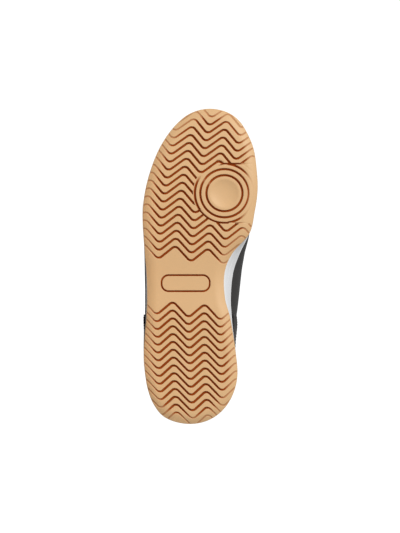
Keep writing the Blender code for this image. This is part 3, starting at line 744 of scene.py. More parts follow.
# flare, which is 0 at the gum's edge and 1 at the rim, then inset and height over the floor line in mm
CUP_PROFILE = (
    (0.00, 2.50, 6.30), (0.00, 0.80, 6.30), (0.02, 0.42, 6.45), (0.08, 0.25, 6.90), (0.22, 0.12, 9.00),
    (0.40, 0.05, 12.00), (0.56, 0.00, 15.00), (0.72, 0.05, 18.00), (0.88, 0.16, 21.00), (0.97, 0.26, 22.60),
    (1.00, 0.40, 23.20), (1.00, 0.38, 23.45), (1.00, 0.16, 23.62), (1.00, -0.06, 23.85), (1.00, -0.15, 24.20),
    (1.00, -0.15, 26.10), (1.00, -0.05, 26.70), (1.00, 0.25, 27.12), (1.00, 0.95, 27.30), (1.00, 2.60, 27.30),
    (1.00, 3.25, 27.15), (1.00, 3.50, 26.70), (1.00, 3.50, 20.00), (1.00, 3.50, 14.30),
)
WALL_ANGLES = np.linspace(-math.pi, math.pi, 561)[:-1]


def net_faces(rows, columns, round_rows):
    """The faces of a net of points in rows. round_rows joins the last column to the first."""
    faces = []
    for i in range(rows - 1):
        for j in range(columns if round_rows else columns - 1):
            k = (j + 1) % columns
            faces.append((i * columns + j, i * columns + k, (i + 1) * columns + k, (i + 1) * columns + j))
    return faces


def tube_faces(rows, columns):
    """The faces of a tube of points in closed rows, with both its ends closed."""
    ends = [tuple(range(columns)), tuple(range(columns * (rows - 1), columns * rows))]
    return net_faces(rows, columns, True) + ends


def strap_faces(rows, columns):
    """The faces of a strap whose rows run round its section, with both its ends closed."""
    last = (rows - 1) * columns
    closing = [(last + j, last + j + 1, j + 1, j) for j in range(columns - 1)]
    ends = [tuple(row * columns + column for row in range(rows)) for column in (0, columns - 1)]
    return net_faces(rows, columns, False) + closing + ends


def raised(plan_points, height):
    """Plan points at a height above the floor line, which rises at the toe."""
    return np.concatenate([plan_points, (spring(plan_points[..., 0]) + height)[..., None]], -1)


rows = []
for flare, distance, height in CUP_PROFILE:
    by_gum, by_rim = (inset(kind, WALL_ANGLES, distance * MM) for kind in ("gum", "wall"))
    rows.append(raised((1 - flare) * by_gum + flare * by_rim, height * MM))
side_wall = piece_from("side_wall", np.concatenate(rows), tube_faces(len(rows), len(WALL_ANGLES)))


def white_rubber_finish():
    paint = Paint(bpy.data.materials.new("white_rubber_moulded"))
    place = paint.place()
    cloud = paint.noise(place, 35.0, 5.0)
    stipple = paint.add("TexVoronoi", "Distance", {"Vector": place, "Scale": 900.0})
    return paint.shade({
        "Base Color": paint.mix(cloud, srgb(234, 235, 236), srgb(226, 227, 228)),
        "Normal": paint.bump(stipple, 0.18, 0.0002),
        "Roughness": paint.ramp(cloud, to_start=0.42, to_stop=0.6),
    })


side_wall.data.materials.append(white_rubber_finish())
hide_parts("midsole")
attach(side_wall, "root")


# Upper. A shell of soft charcoal leather, 2 mm thick with its cloth lining, drawn over the last and
# cemented into the cup. It has soft flex creases over the toes.

INSTEP_HEIGHT = 100 * MM
WALL = 2 * MM
UPPER_INSET = 3.8 * MM
UPPER_BOTTOM = CUP_INSIDE + 0.3 * MM

# turn is the share of the way round from the toe to the heel. top_along is a share of SOLE_LENGTH,
# top_height of INSTEP_HEIGHT and the others of BALL_WIDTH: where the top line runs, and how the section
# swells over the side wall, rises, and falls from its top line.
SECTION_COLUMNS = (
    "turn", "top_along", "top_axis", "top_half", "top_height",
    "swell_lateral", "swell_medial", "rise", "shoulder_out", "shoulder_down",
)
SECTIONS = (
    (0.00, 0.307, -0.035, 0.000, 0.660, 0.000, 0.000, 0.150, 0.340, 0.050),
    (0.15, 0.310, -0.035, 0.055, 0.665, 0.010, 0.010, 0.155, 0.280, 0.060),
    (0.25, 0.320, -0.034, 0.100, 0.690, 0.025, 0.025, 0.165, 0.200, 0.070),
    (0.35, 0.350, -0.032, 0.132, 0.745, 0.045, 0.060, 0.185, 0.165, 0.090),
    (0.42, 0.420, -0.025, 0.158, 0.825, 0.060, 0.130, 0.195, 0.140, 0.105),
    (0.50, 0.515, -0.015, 0.185, 0.925, 0.098, 0.255, 0.175, 0.120, 0.130),
    (0.56, 0.600, -0.005, 0.208, 1.000, 0.142, 0.256, 0.170, 0.085, 0.150),
    (0.62, 0.668, 0.010, 0.275, 0.945, 0.112, 0.165, 0.180, 0.045, 0.145),
    (0.70, 0.752, 0.020, 0.325, 0.810, 0.090, 0.045, 0.175, 0.020, 0.125),
    (0.80, 0.850, 0.030, 0.310, 0.775, 0.060, 0.050, 0.170, 0.020, 0.110),
    (0.90, 0.925, 0.040, 0.215, 0.840, 0.040, 0.040, 0.180, 0.000, 0.150),
    (1.00, 0.962, 0.043, 0.000, 0.910, 0.040, 0.040, 0.180, -0.010, 0.180),
)

# A crease runs across the shoe. along is its share of the length, and middle, half length, bow forward,
# depth and width are in mm. A negative depth is a ridge.
CREASES = (
    (0.222, -6, 34, 5, 0.45, 3.0),
    (0.248, -4, 40, 6, 0.80, 3.4),
    (0.262, -4, 36, 6, -0.45, 3.0),
    (0.281, -2, 42, 7, 0.90, 3.2),
    (0.296, -2, 36, 7, -0.40, 2.6),
)


def section(name, turn):
    turns = values(SECTION_COLUMNS, SECTIONS, "turn")
    column = values(SECTION_COLUMNS, SECTIONS, name)
    mirrored = -1 if name == "top_half" else 1
    turns = [-turns[1]] + turns + [2 - turns[-2]]
    column = [mirrored * column[1]] + column + [mirrored * column[-2]]
    return smooth(turns, column, turn)


def unit(vectors):
    return vectors / np.linalg.norm(vectors, axis=-1, keepdims=True)


def upper_face(angle, t):
    """The upper's outer face. t is -1 at its bottom edge, 0 at the cup's rim and 1 at its top line."""
    angle, t = np.broadcast_arrays(np.asarray(angle, float), np.asarray(t, float))
    angle = (angle + math.pi) % (2 * math.pi) - math.pi
    foot = inset("wall", angle, UPPER_INSET)
    low = raised(foot, CUP_TOP + 0.5 * MM)
    bottom = raised(foot, UPPER_BOTTOM)
    turn = np.abs(angle) / math.pi
    side = np.where(angle > 0, 1, -1)
    top = np.stack([
        along_of(section("top_along", turn)),
        BALL_WIDTH * (section("top_axis", turn) + side * section("top_half", turn)),
        INSTEP_HEIGHT * section("top_height", turn),
    ], -1)
    out = unit((low - top) * [1, 1, 0])
    swell = np.where(side > 0, section("swell_lateral", turn), section("swell_medial", turn))
    away = unit(foot - inset("wall", angle, UPPER_INSET + MM))
    away = np.concatenate([away, np.zeros(away.shape[:-1] + (1,))], -1)
    up = np.array([0, 0, 1.0])
    first = low + BALL_WIDTH * (swell[..., None] * away + section("rise", turn)[..., None] * up)
    second = top + BALL_WIDTH * (
        section("shoulder_out", turn)[..., None] * out - section("shoulder_down", turn)[..., None] * up
    )
    u = np.clip(t, 0, 1)[..., None]
    s = 1 - u
    curve = s ** 3 * low + 3 * s * s * u * first + 3 * s * u * u * second + u ** 3 * top
    d = np.clip(-t, 0, 1)[..., None]
    return np.where(t[..., None] < 0, low + (bottom - low) * d, curve)


def upper_normal(angle, t, step=0.02):
    t = np.clip(t, 0, 1)
    round_way = upper_face(angle + step, t) - upper_face(angle - step, t)
    up_way = upper_face(angle, np.minimum(t + step, 1)) - upper_face(angle, np.maximum(t - step, 0))
    return unit(np.cross(up_way, round_way))


def creased(points):
    """How far out of the plain face the creases put points, in metres."""
    out = np.zeros(points.shape[:-1])
    for share, middle, reach, bow, depth, width in CREASES:
        across = (points[..., 1] / MM - middle) / reach
        there = np.clip(1 - across ** 2, 0, 1) ** 1.5 * np.clip((points[..., 2] / MM - 34) / 14, 0, 1)
        line = (points[..., 0] - along_of(share)) / MM + bow * (1 - across ** 2)
        out -= depth * MM * there * np.exp(-(line / width) ** 2)
    return out


def on_upper(angle, t, distance):
    """Points at a distance out from the upper's face, its creases included."""
    angle, t = np.broadcast_arrays(np.asarray(angle, float), np.asarray(t, float))
    face = upper_face(angle, t)
    return face + (np.asarray(distance) + creased(face))[..., None] * upper_normal(angle, t)


def step_below_top(angle, width, count=61):
    """The steps of the sections that lie a width down the face from the top line."""
    angle = np.atleast_1d(angle)
    width = np.broadcast_to(width, angle.shape)
    steps = np.linspace(1, 1 / count, count)
    line = upper_face(angle[:, None], steps[None, :])
    walked = np.concatenate([
        np.zeros((len(angle), 1)), np.cumsum(np.linalg.norm(np.diff(line, axis=1), axis=2), 1),
    ], 1)
    return np.array([np.interp(w, walk, steps) for w, walk in zip(width, walked)])


UPPER_ANGLES = np.linspace(-math.pi, math.pi, 401)[:-1]
outer_steps = np.concatenate([[-1, -0.5, -0.1], np.linspace(0, 0.985, 72)])
rows = [on_upper(UPPER_ANGLES, t, 0) for t in outer_steps]
rows += [on_upper(UPPER_ANGLES, 1, -out * MM) + np.array([0, 0, up * MM]) for out, up in
         ((0.05, -0.25), (0.35, 0.1), (1.0, 0.25), (1.65, 0.1), (1.95, -0.25))]
rows += [on_upper(UPPER_ANGLES, t, -WALL) for t in outer_steps[::-1]]
inner_from = len(outer_steps) + 3
count = len(UPPER_ANGLES)
faces = net_faces(len(rows), count, True)
last = count * (len(rows) - 1)
faces += [(last + j, last + (j + 1) % count, (j + 1) % count, j) for j in range(count)]
upper = piece_from("leather_upper", np.concatenate(rows), faces)


def net_uv(piece, u, v, whole=None):
    """A UV map in metres from each point's place round and along the piece. whole is the way round."""
    layer = piece.data.uv_layers.new(name="cloth")
    corner = np.zeros(len(piece.data.loops), np.int32)
    piece.data.loops.foreach_get("vertex_index", corner)
    uv = np.stack([u[corner], v[corner]], 1)
    if whole:
        for face in piece.data.polygons:
            taken = slice(face.loop_start, face.loop_start + face.loop_total)
            if uv[taken, 0].max() - uv[taken, 0].min() > whole / 2:
                uv[taken, 0] += np.where(uv[taken, 0] < whole / 2, whole, 0)
    layer.data.foreach_set("uv", uv.astype(np.float32).ravel())


round_way = np.tile((UPPER_ANGLES + math.pi) / (2 * math.pi) * 0.62, len(rows))
up_way = np.repeat(np.abs(np.arange(len(rows)) - len(rows) / 2) * 1.35 * MM, count)
net_uv(upper, round_way, up_way, 0.62)


def leather_finish(name, light, dark, grain, roughness):
    paint = Paint(bpy.data.materials.new(name))
    place = paint.place()
    cells = paint.add("TexVoronoi", "Distance", {"Vector": place, "Scale": grain, "Randomness": 0.9},
                      feature="DISTANCE_TO_EDGE")
    furrow = paint.ramp(cells, stop=0.22)
    soft = paint.noise(place, grain * 0.35, 3.0)
    height = paint.add("Math", "Value", {0: furrow, 1: soft}, operation="ADD")
    return paint.shade({
        "Base Color": paint.mix(furrow, dark, paint.mix(paint.noise(place, 30.0, 5.0), light, dark)),
        "Normal": paint.bump(height, 0.35, 0.00025),
        "Roughness": paint.ramp(soft, to_start=roughness - 0.07, to_stop=roughness + 0.07),
        "Coat Weight": 0.06,
        "Coat Roughness": 0.35,
    })


def woven_finish(name, light, dark, pitch, roughness=0.9, strength=0.5):
    """A knitted cloth with small staggered holes, on the piece's own UV map in metres."""
    paint = Paint(bpy.data.materials.new(name))
    uv = paint.cloth_uv()
    turned_uv = paint.add("Mapping", "Vector", {
        "Vector": uv, "Rotation": (0, 0, math.pi / 4), "Scale": (1 / pitch, 1 / pitch, 1),
    })
    cells = paint.add("TexVoronoi", "Distance", {"Vector": turned_uv, "Scale": 1.0, "Randomness": 0.0},
                      voronoi_dimensions="2D")
    hole = paint.ramp(cells, 0.18, 0.42)
    return paint.shade({
        "Base Color": paint.mix(hole, dark, paint.mix(paint.noise(uv, 60.0, 4.0), light, dark)),
        "Normal": paint.bump(hole, strength, 0.0004),
        "Roughness": roughness,
        "Sheen Weight": 0.15,
    })


charcoal_leather = leather_finish("charcoal_leather", srgb(56, 54, 53), srgb(42, 41, 40), 750.0, 0.52)
upper.data.materials.append(charcoal_leather)
upper.data.materials.append(woven_finish("dark_lining", srgb(58, 58, 57), srgb(30, 30, 30), 1.6 * MM))
for face in upper.data.polygons:
    if min(face.vertices) >= inner_from * count:
        face.material_index = 1
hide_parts("upper")
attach(upper, "root")


# Eyestay and counter. Overlays of the same leather, 1.2 mm thick, with their cut edges turned down. The
# eyestay frames the throat and holds the eyelets, and the counter wraps the heel. Both are stitched on.

OVERLAY = 1.2 * MM
OVERLAY_GAP = 0.4 * MM
OVERLAY_FACE = OVERLAY_GAP + OVERLAY
UNDERSIDE = 0.02 * MM
EYESTAY_WIDTH = 18 * MM
EYESTAY_END = 0.575
COLLAR_WIDTH = 20 * MM
COUNTER_START = 0.60
COUNTER_LOW = 0.10
COUNTER_COLUMNS = ("turn", "fill")
COUNTER_SHAPE = ((0.60, 0.12), (0.65, 0.52), (0.72, 0.80), (0.82, 0.94), (1.00, 1.00))
# where the rows of an overlay lie, in mm in from its edge, and how much of its thickness is there
TURNED_EDGE = ((0.0, 0.0), (0.03, 0.45), (0.15, 0.72), (0.4, 0.92), (0.8, 1.0))


def overlay(name, angles, low, high, between=14):
    """A leather overlay between two lines of the upper, low and high, given as steps at the angles."""
    long = np.linalg.norm(upper_face(angles, high) - upper_face(angles, low), axis=1)
    ends = distances(upper_face(angles, low))
    from_end = np.minimum(ends, ends[-1] - ends) / MM
    end_rise = np.interp(from_end, [e for e, _ in TURNED_EDGE], [max(r, 0.15) for _, r in TURNED_EDGE])
    rows = []
    for edge, rise in TURNED_EDGE:
        t = low + (high - low) * np.minimum(edge * MM / long, 0.4)
        rows.append(on_upper(angles, t, UNDERSIDE + OVERLAY_FACE * rise * end_rise))
    first = np.minimum(0.8 * MM / long, 0.4)
    for i in range(1, between):
        share = first + (1 - 2 * first) * i / between
        rows.append(on_upper(angles, low + (high - low) * share, UNDERSIDE + OVERLAY_FACE * end_rise))
    for edge, rise in TURNED_EDGE[::-1]:
        t = high - (high - low) * np.minimum(edge * MM / long, 0.4)
        rows.append(on_upper(angles, t, UNDERSIDE + OVERLAY_FACE * rise * end_rise))
    for i in range(1, between):
        rows.append(on_upper(angles, high + (low - high) * i / between, UNDERSIDE))
    made = piece_from(name, np.concatenate(rows), strap_faces(len(rows), len(angles)))
    made.data.materials.append(overlay_leather)
    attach(made, "root")
    return made


overlay_leather = leather_finish("overlay_leather", srgb(58, 56, 55), srgb(44, 43, 42), 620.0, 0.48)
EYESTAY_STEPS = 300
eyestay_angles = np.linspace(-EYESTAY_END, EYESTAY_END, EYESTAY_STEPS) * math.pi
eyestay_low = step_below_top(eyestay_angles, EYESTAY_WIDTH)
eyestay = overlay("eyestay_leather", eyestay_angles, eyestay_low, np.full(EYESTAY_STEPS, 0.999), 16)
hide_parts("eyestay")

COUNTER_STEPS = 260
counter_angles = np.linspace(COUNTER_START, 2 - COUNTER_START, COUNTER_STEPS) * math.pi
counter_turn = 1 - np.abs(counter_angles / math.pi - 1)
counter_fill = curve_of(COUNTER_COLUMNS, COUNTER_SHAPE, "fill", counter_turn)
counter_top = step_below_top(counter_angles, COLLAR_WIDTH + 1.5 * MM)
counter_high = COUNTER_LOW + counter_fill * (counter_top - COUNTER_LOW)
counter = overlay("counter_leather", counter_angles, np.full(COUNTER_STEPS, COUNTER_LOW), counter_high, 22)
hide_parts("counter")

# The eyelet holes are punched through eyestay and upper
EYELET_DIAMETER = 4.5 * MM
EYELET_PAIRS = 6
EYELET_INSET = 8 * MM
PUNCH_LENGTH = 14 * MM
EYELET_FIRST = 0.335
EYELET_LAST = 0.588
THROAT = SECTIONS[:7]


def throat(name, share):
    return curve_of(SECTION_COLUMNS, THROAT, name, share, "top_along")


def turn_onto(place, normal, along):
    """A frame on the shoe's surface, X along a seam and Z out of the face, on the laid shoe."""
    z = Vector(normal).normalized()
    x = Vector(along)
    x = (x - x.dot(z) * z).normalized()
    y = z.cross(x)
    local = Matrix((x, y, z)).transposed().to_4x4()
    return LAID_DOWN @ Matrix.Translation(Vector(place)) @ local


eyelets = []
for k in range(EYELET_PAIRS):
    share = EYELET_FIRST + (EYELET_LAST - EYELET_FIRST) * k / (EYELET_PAIRS - 1)
    angle = math.pi * float(throat("turn", share))
    eyelets.append([(side * angle, float(step_below_top(side * angle, EYELET_INSET)[0])) for side in (1, -1)])

spots = [(angle, t) for pair in eyelets for angle, t in pair]
eyelet_frames = [
    turn_onto(on_upper(a, t, OVERLAY_FACE), upper_normal(a, t), upper_face(a + 0.05, t) - upper_face(a, t))
    for a, t in spots
]
bpy.ops.object.select_all(action="DESELECT")
punches = []
for frame_there in eyelet_frames:
    bpy.ops.mesh.primitive_cylinder_add(vertices=28, radius=EYELET_DIAMETER / 2, depth=PUNCH_LENGTH)
    punches.append(bpy.context.object)
    punches[-1].data.transform(frame_there)
bpy.ops.object.select_all(action="DESELECT")
for punch in punches:
    punch.select_set(True)
bpy.context.view_layer.objects.active = punches[0]
bpy.ops.object.join()
punch = punches[0]
for target in (eyestay, upper):
    hole = target.modifiers.new("eyelets", "BOOLEAN")
    hole.object = punch
    hole.operation = "DIFFERENCE"
    hole.solver = "EXACT"
    bpy.ops.object.select_all(action="DESELECT")
    bpy.context.view_layer.objects.active = target
    target.select_set(True)
    bpy.ops.object.modifier_apply(modifier=hole.name)
    target.data.shade_smooth()
bpy.data.objects.remove(punch, do_unlink=True)


# Eyelets. Each hole has a rolled ring of blackened metal, pressed through the eyestay, so that the lace
# runs over a smooth rim. One ring is turned and the others are its copies.

def copies(name, model, frames):
    """One mesh of many copies of a small modelled piece, one in each frame. The model is used up."""
    co = np.zeros(len(model.data.vertices) * 3)
    model.data.vertices.foreach_get("co", co)
    co = np.concatenate([co.reshape(-1, 3), np.ones((len(model.data.vertices), 1))], 1)
    shape = [tuple(f.vertices) for f in model.data.polygons]
    points, faces = [], []
    for number, place in enumerate(frames):
        points.append((co @ np.array(place).T)[:, :3])
        faces += [tuple(v + number * len(co) for v in f) for f in shape]
    mesh = bpy.data.meshes.new(name)
    mesh.from_pydata([tuple(p) for p in np.concatenate(points)], [], faces)
    bpy.data.objects.remove(model, do_unlink=True)
    return linked(name, mesh)


def resize_in_edit(size):
    """Resizes the whole mesh of the active object, as by hand in edit mode."""
    bpy.ops.object.mode_set(mode="EDIT")
    bpy.ops.mesh.select_all(action="SELECT")
    bpy.ops.transform.resize(value=size)
    bpy.ops.object.mode_set(mode="OBJECT")


bpy.ops.object.select_all(action="DESELECT")
bpy.ops.mesh.primitive_torus_add(
    major_segments=32, minor_segments=10,
    major_radius=EYELET_DIAMETER / 2 + 0.35 * MM, minor_radius=0.62 * MM,
)
ring = bpy.context.object
resize_in_edit((1, 1, 0.62))
eyelet_rings = copies("eyelet_rings", ring, eyelet_frames)


def blackened_metal():
    paint = Paint(bpy.data.materials.new("blackened_metal"))
    wear = paint.noise(paint.place(), 400.0, 5.0)
    return paint.shade({
        "Base Color": paint.mix(wear, (0.03, 0.03, 0.03, 1), (0.07, 0.07, 0.07, 1)),
        "Roughness": paint.ramp(wear, to_start=0.28, to_stop=0.45),
        "Metallic": 1.0,
    })


eyelet_rings.data.materials.append(blackened_metal())
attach(eyelet_rings, "root")


# Collar. A foam pad under knitted lining, rolled over the top line from the outside to the inside. It is
# sewn to the upper below, and its ends run in under the eyestay.

COLLAR_START = 0.582
COLLAR_PAD = 2.2 * MM
COLLAR_STEPS = 240
# how far below the top line in mm, and how full the pad is there, up the outside and down the inside
PAD_OUTSIDE = (
    (20.2, 0.0), (20.0, 0.5), (19.4, 0.8), (18.4, 0.95), (16.5, 1.15), (14, 1.35), (11, 1.5), (8, 1.5),
    (5, 1.35), (2.5, 1.15), (0.8, 1.0),
)
PAD_INSIDE = (
    (1.5, 1.2), (4, 1.7), (7, 2.1), (11, 2.4), (15, 2.3), (19, 1.9), (23, 1.3), (26, 0.7), (28.5, 0.25),
    (30, 0.05),
)
collar_angles = np.linspace(COLLAR_START, 2 - COLLAR_START, COLLAR_STEPS) * math.pi
ends = np.abs(np.linspace(-1, 1, COLLAR_STEPS))
fullness = np.sqrt(np.clip(1 - np.clip((ends - 0.96) / 0.04, 0, 1) ** 2, 0.02, 1))
top_line = upper_face(collar_angles, 1.0)
outward = upper_normal(collar_angles, np.ones(COLLAR_STEPS))
upward = unit(top_line - upper_face(collar_angles, 0.97))


def inside_collar(down, depth):
    """A row on the collar's inside, at a depth in from the upper's outer face."""
    t = step_below_top(collar_angles, down * MM)
    return upper_face(collar_angles, t) - upper_normal(collar_angles, t) * np.reshape(depth, (-1, 1))


rows = []
for down, swell in PAD_OUTSIDE:
    t = step_below_top(collar_angles, down * MM)
    rows.append(on_upper(collar_angles, t, 0.15 * MM + COLLAR_PAD * 1.12 * swell * fullness))
reach = (WALL / 2 + COLLAR_PAD * 1.25 * fullness)[:, None]
for turn in np.radians(np.linspace(10, 170, 9)):
    lift = upward * 1.7 * MM * math.sin(turn) * fullness[:, None]
    rows.append(top_line - outward * WALL / 2 + outward * reach * math.cos(turn) + lift)
rows += [inside_collar(down, WALL + 0.15 * MM + COLLAR_PAD * swell * fullness) for down, swell in PAD_INSIDE]
rows += [inside_collar(down, WALL + 0.05 * MM) for down in (24, 16, 8, 2)]
rows.append(top_line - outward * WALL / 2 + upward * 0.3 * MM)
for down in (4, 12, 18):
    rows.append(on_upper(collar_angles, step_below_top(collar_angles, down * MM), 0.05 * MM))
collar = piece_from("collar_pad", np.concatenate(rows), strap_faces(len(rows), COLLAR_STEPS))
section_walk = distances(np.array(rows)[:, COLLAR_STEPS // 2])
round_collar = np.tile(np.linspace(0, 0.30, COLLAR_STEPS), len(rows))
net_uv(collar, round_collar, np.repeat(section_walk, COLLAR_STEPS))
dark_knit = woven_finish("dark_knit", srgb(62, 62, 61), srgb(34, 34, 33), 1.5 * MM)
collar.data.materials.append(dark_knit)
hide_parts("collar")
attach(collar, "root")


# Tongue. A tapered foam pad between two faces of knitted cloth, sewn round its edge and to the vamp
# under the throat. It lies under the laces and stands up a little above the top line.

TONGUE_THICKNESS = 4.5 * MM
TONGUE_CROWN = 0.9 * MM
TONGUE_CLEARANCE = 1.2 * MM
TONGUE_COLUMNS = ("along", "half", "height", "drop")
TONGUE = (
    (0.265, 0.090, 0.590, 0.50),
    (0.310, 0.120, 0.640, 0.50),
    (0.350, 0.160, 0.725, 0.50),
    (0.420, 0.205, 0.815, 0.50),
    (0.515, 0.230, 0.920, 0.50),
    (0.600, 0.230, 1.010, 0.45),
    (0.645, 0.225, 1.080, 0.35),
    (0.672, 0.205, 1.130, 0.28),
    (0.682, 0.160, 1.148, 0.24),
)


def tongue(name, share):
    return curve_of(TONGUE_COLUMNS, TONGUE, name, share)


some_angles = UPPER_ANGLES[::4]
inside_net = [upper_face(some_angles, t) - WALL * upper_normal(some_angles, t) for t in np.linspace(0, 1, 19)]
inside_wall = BVHTree.FromPolygons(np.concatenate(inside_net).tolist(), net_faces(19, 100, True))


def tongue_top(share, across, crown=0.0):
    """The tongue's upper face, under the upper's inner face wherever that covers it."""
    half = BALL_WIDTH * float(tongue("half", share))
    height = INSTEP_HEIGHT * float(tongue("height", share)) + crown
    height -= float(tongue("drop", share)) * half * (across / half) ** 2
    axis = BALL_WIDTH * float(throat("top_axis", min(max(share, SECTIONS[0][1]), SECTIONS[6][1])))
    point = Vector((along_of(share), axis + across, height))
    hit = inside_wall.ray_cast(Vector((point.x, point.y, CUP_TOP)), Vector((0, 0, 1)))[0]
    if hit:
        point.z = min(point.z, hit.z - TONGUE_CLEARANCE)
    return point


shares = np.concatenate([
    [0.265, 0.2655, 0.267], np.linspace(0.272, 0.674, 64), [0.678, 0.6805, 0.6818, 0.682],
])
plump = np.concatenate([[0.3, 0.6, 0.85], np.ones(64), [0.93, 0.78, 0.5, 0.15]])
across_steps = 26
tongue_rows = []
for share, full in zip(shares, plump):
    half = BALL_WIDTH * float(tongue("half", share))
    upside, underside = [], []
    for i in range(across_steps + 1):
        u = math.sin(math.pi / 2 * (2 * i / across_steps - 1))
        round_off = (1 - u ** 6) ** 0.5
        crown = TONGUE_CROWN * (1 - u ** 2) * full
        top = tongue_top(share, u * half, crown)
        middle = top.z - TONGUE_THICKNESS / 2
        sewn = 1 - 0.25 * math.exp(-(((1 - abs(u)) * half / MM - 4.5) / 1.1) ** 2)
        rise = TONGUE_THICKNESS / 2 * full * round_off * sewn
        upside.append((top.x, top.y, middle + rise))
        underside.append((top.x, top.y, middle - rise))
    tongue_rows.append(np.array(upside + underside[-2:0:-1]))
count = len(tongue_rows[0])
tongue_pad = piece_from("tongue_pad", np.concatenate(tongue_rows), tube_faces(len(tongue_rows), count))
net_uv(tongue_pad, np.concatenate([r[:, 1] for r in tongue_rows]), np.repeat(shares * SOLE_LENGTH, count))
tongue_pad.data.materials.append(dark_knit)
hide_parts("tongue")
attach(tongue_pad, "root")


# Laces. Flat woven laces, 7 mm wide, drawn tight straight over the tongue from eyelet to eyelet. They fold
# together where they dive into the eyelets, and their ends stop inside at the top pair.

LACE_WIDTH = 7 * MM
LACE_THICKNESS = 1.4 * MM
LACE_REST = LACE_THICKNESS / 2 + 0.25 * MM
LACE_FOLDED = 3.9 * MM
LACE_FOLDED_THICKNESS = 2.3 * MM
LACE_INSIDE = 6.5 * MM
FOLD_START = 1.5 * MM
FOLD_WIDTH = 5.5 * MM
LACE_POINTS = 110
LACE_ROUND = 24


def lace_finish():
    paint = Paint(bpy.data.materials.new("woven_lace"))
    uv = paint.cloth_uv()
    waves = []
    for slope in (0.6, -0.6):
        way = paint.add("Mapping", "Vector", {"Vector": uv, "Rotation": (0, 0, slope)})
        waves.append(paint.add("TexWave", "Fac", {"Vector": way, "Scale": 260.0, "Distortion": 0.0},
                               bands_direction="Y"))
    cross = paint.add("Math", "Value", {0: waves[0], 1: waves[1]}, operation="MAXIMUM")
    return paint.shade({
        "Base Color": paint.mix(cross, srgb(34, 34, 33), srgb(78, 78, 76)),
        "Normal": paint.bump(cross, 0.6, 0.0003),
        "Roughness": 0.88,
        "Sheen Weight": 0.2,
    })


woven_lace = lace_finish()


# what the laces lie on: the overlay's face, and the tongue's
support_steps = np.linspace(0.4, 1, 31)
support_angles = np.linspace(-0.66, 0.66, 241) * math.pi
support = [on_upper(support_angles, t, OVERLAY_FACE) for t in support_steps]
stay_face = BVHTree.FromPolygons(np.concatenate(support).tolist(), net_faces(31, 241, False))
tongue_face = BVHTree.FromPolygons(
    np.concatenate([r[:across_steps + 1] for r in tongue_rows]).tolist(),
    net_faces(len(tongue_rows), across_steps + 1, False),
)


def vec(array):
    return Vector(np.asarray(array).reshape(3))


def height_below(place):
    """The highest thing that a lace can lie on at a place in plan, or None."""
    above = Vector((place.x, place.y, 0.2))
    hits = [net.ray_cast(above, Vector((0, 0, -1)))[0] for net in (stay_face, tongue_face)]
    return max((hit.z for hit in hits if hit), default=None)


def drawn_tight(stops):
    """The stops that a taut lace touches: the upper hull of points of (way across, height)."""
    hull = []
    for stop in stops:
        while len(hull) > 1:
            (a, b), (c, d) = hull[-2:]
            if (c - a) * (stop[1] - b) < (d - b) * (stop[0] - a):
                break
            hull.pop()
        hull.append(stop)
    return hull


def evenly(line, count):
    """Points at even distances along a line of close points, its corners softened."""
    line = np.array([tuple(p) for p in line])
    for _ in range(3):
        walked = distances(line)
        line = at_places(np.linspace(0, walked[-1], count), walked, line)
        line[1:-1] = (line[:-2] + 2 * line[1:-1] + line[2:]) / 4
    return line


def lace(number, pair):
    holes, outs = [], []
    for angle, t in pair:
        holes.append(vec(on_upper(angle, t, OVERLAY_FACE)))
        outs.append(vec(upper_normal(angle, t)))
    across = holes[1] - holes[0]
    stops = []
    for share in np.linspace(0.03, 0.97, 95):
        height = height_below(holes[0] + across * share)
        if height is not None:
            stops.append((share, height + LACE_REST))
    line = []
    taut = drawn_tight(stops)
    for (a, b), (c, d) in zip(taut, taut[1:]):
        for i in range(8):
            share = a + (c - a) * i / 8
            spot = holes[0] + across * share
            line.append(Vector((spot.x, spot.y, b + (d - b) * i / 8)))
    lifts = np.linspace(-LACE_INSIDE, 0.4 * MM, 9)
    dives = [[hole + out * lift for lift in lifts] for hole, out in zip(holes, outs)]
    route = evenly(dives[0] + line[2:-1] + dives[1][::-1], LACE_POINTS)
    ahead = np.gradient(route, axis=0)
    ahead /= np.linalg.norm(ahead, axis=1, keepdims=True)
    turn_at = pair[0][0]
    flat = upper_face(turn_at + 0.1, 1) - upper_face(turn_at - 0.1, 1)
    flat = unit(flat * [1, 0, 1])
    second = np.arange(LACE_POINTS) >= LACE_POINTS / 2
    hole = np.where(second[:, None], np.array(holes[1]), np.array(holes[0]))
    out = np.where(second[:, None], np.array(outs[1]), np.array(outs[0]))
    away = np.linalg.norm(route - hole, axis=1)
    sunk = (((route - hole) * out).sum(1) < 0.2 * MM) & (away < LACE_INSIDE * 1.5)
    spread = np.clip((away - FOLD_START) / FOLD_WIDTH, 0, 1)
    spread = np.where(sunk, 0, spread * spread * (3 - 2 * spread))
    width = LACE_FOLDED + (LACE_WIDTH - LACE_FOLDED) * spread
    thick = LACE_FOLDED_THICKNESS + (LACE_THICKNESS - LACE_FOLDED_THICKNESS) * spread
    side = unit(flat - (ahead @ flat)[:, None] * ahead)
    up = np.cross(ahead, side)
    rows = []
    for j in range(LACE_ROUND):
        turn = 2 * math.pi * j / LACE_ROUND
        c = math.copysign(abs(math.cos(turn)) ** 0.5, math.cos(turn))
        q = math.copysign(abs(math.sin(turn)) ** 0.75, math.sin(turn))
        rows.append(route + side * (width * c / 2)[:, None] + up * (thick * q / 2)[:, None])
    points = np.stack(rows, 1).reshape(-1, 3)
    made = piece_from(f"lace_over_{number}", points, tube_faces(LACE_POINTS, LACE_ROUND))
    around = LACE_WIDTH / 2 * np.cos(2 * math.pi * np.arange(LACE_ROUND) / LACE_ROUND)
    net_uv(made, np.tile(around, LACE_POINTS), np.repeat(distances(route), LACE_ROUND))
    made.data.materials.append(woven_lace)
    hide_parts(f"lace_{number}")
    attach(made, "root")


for number, pair in enumerate(eyelets, 1):
    lace(number, pair)


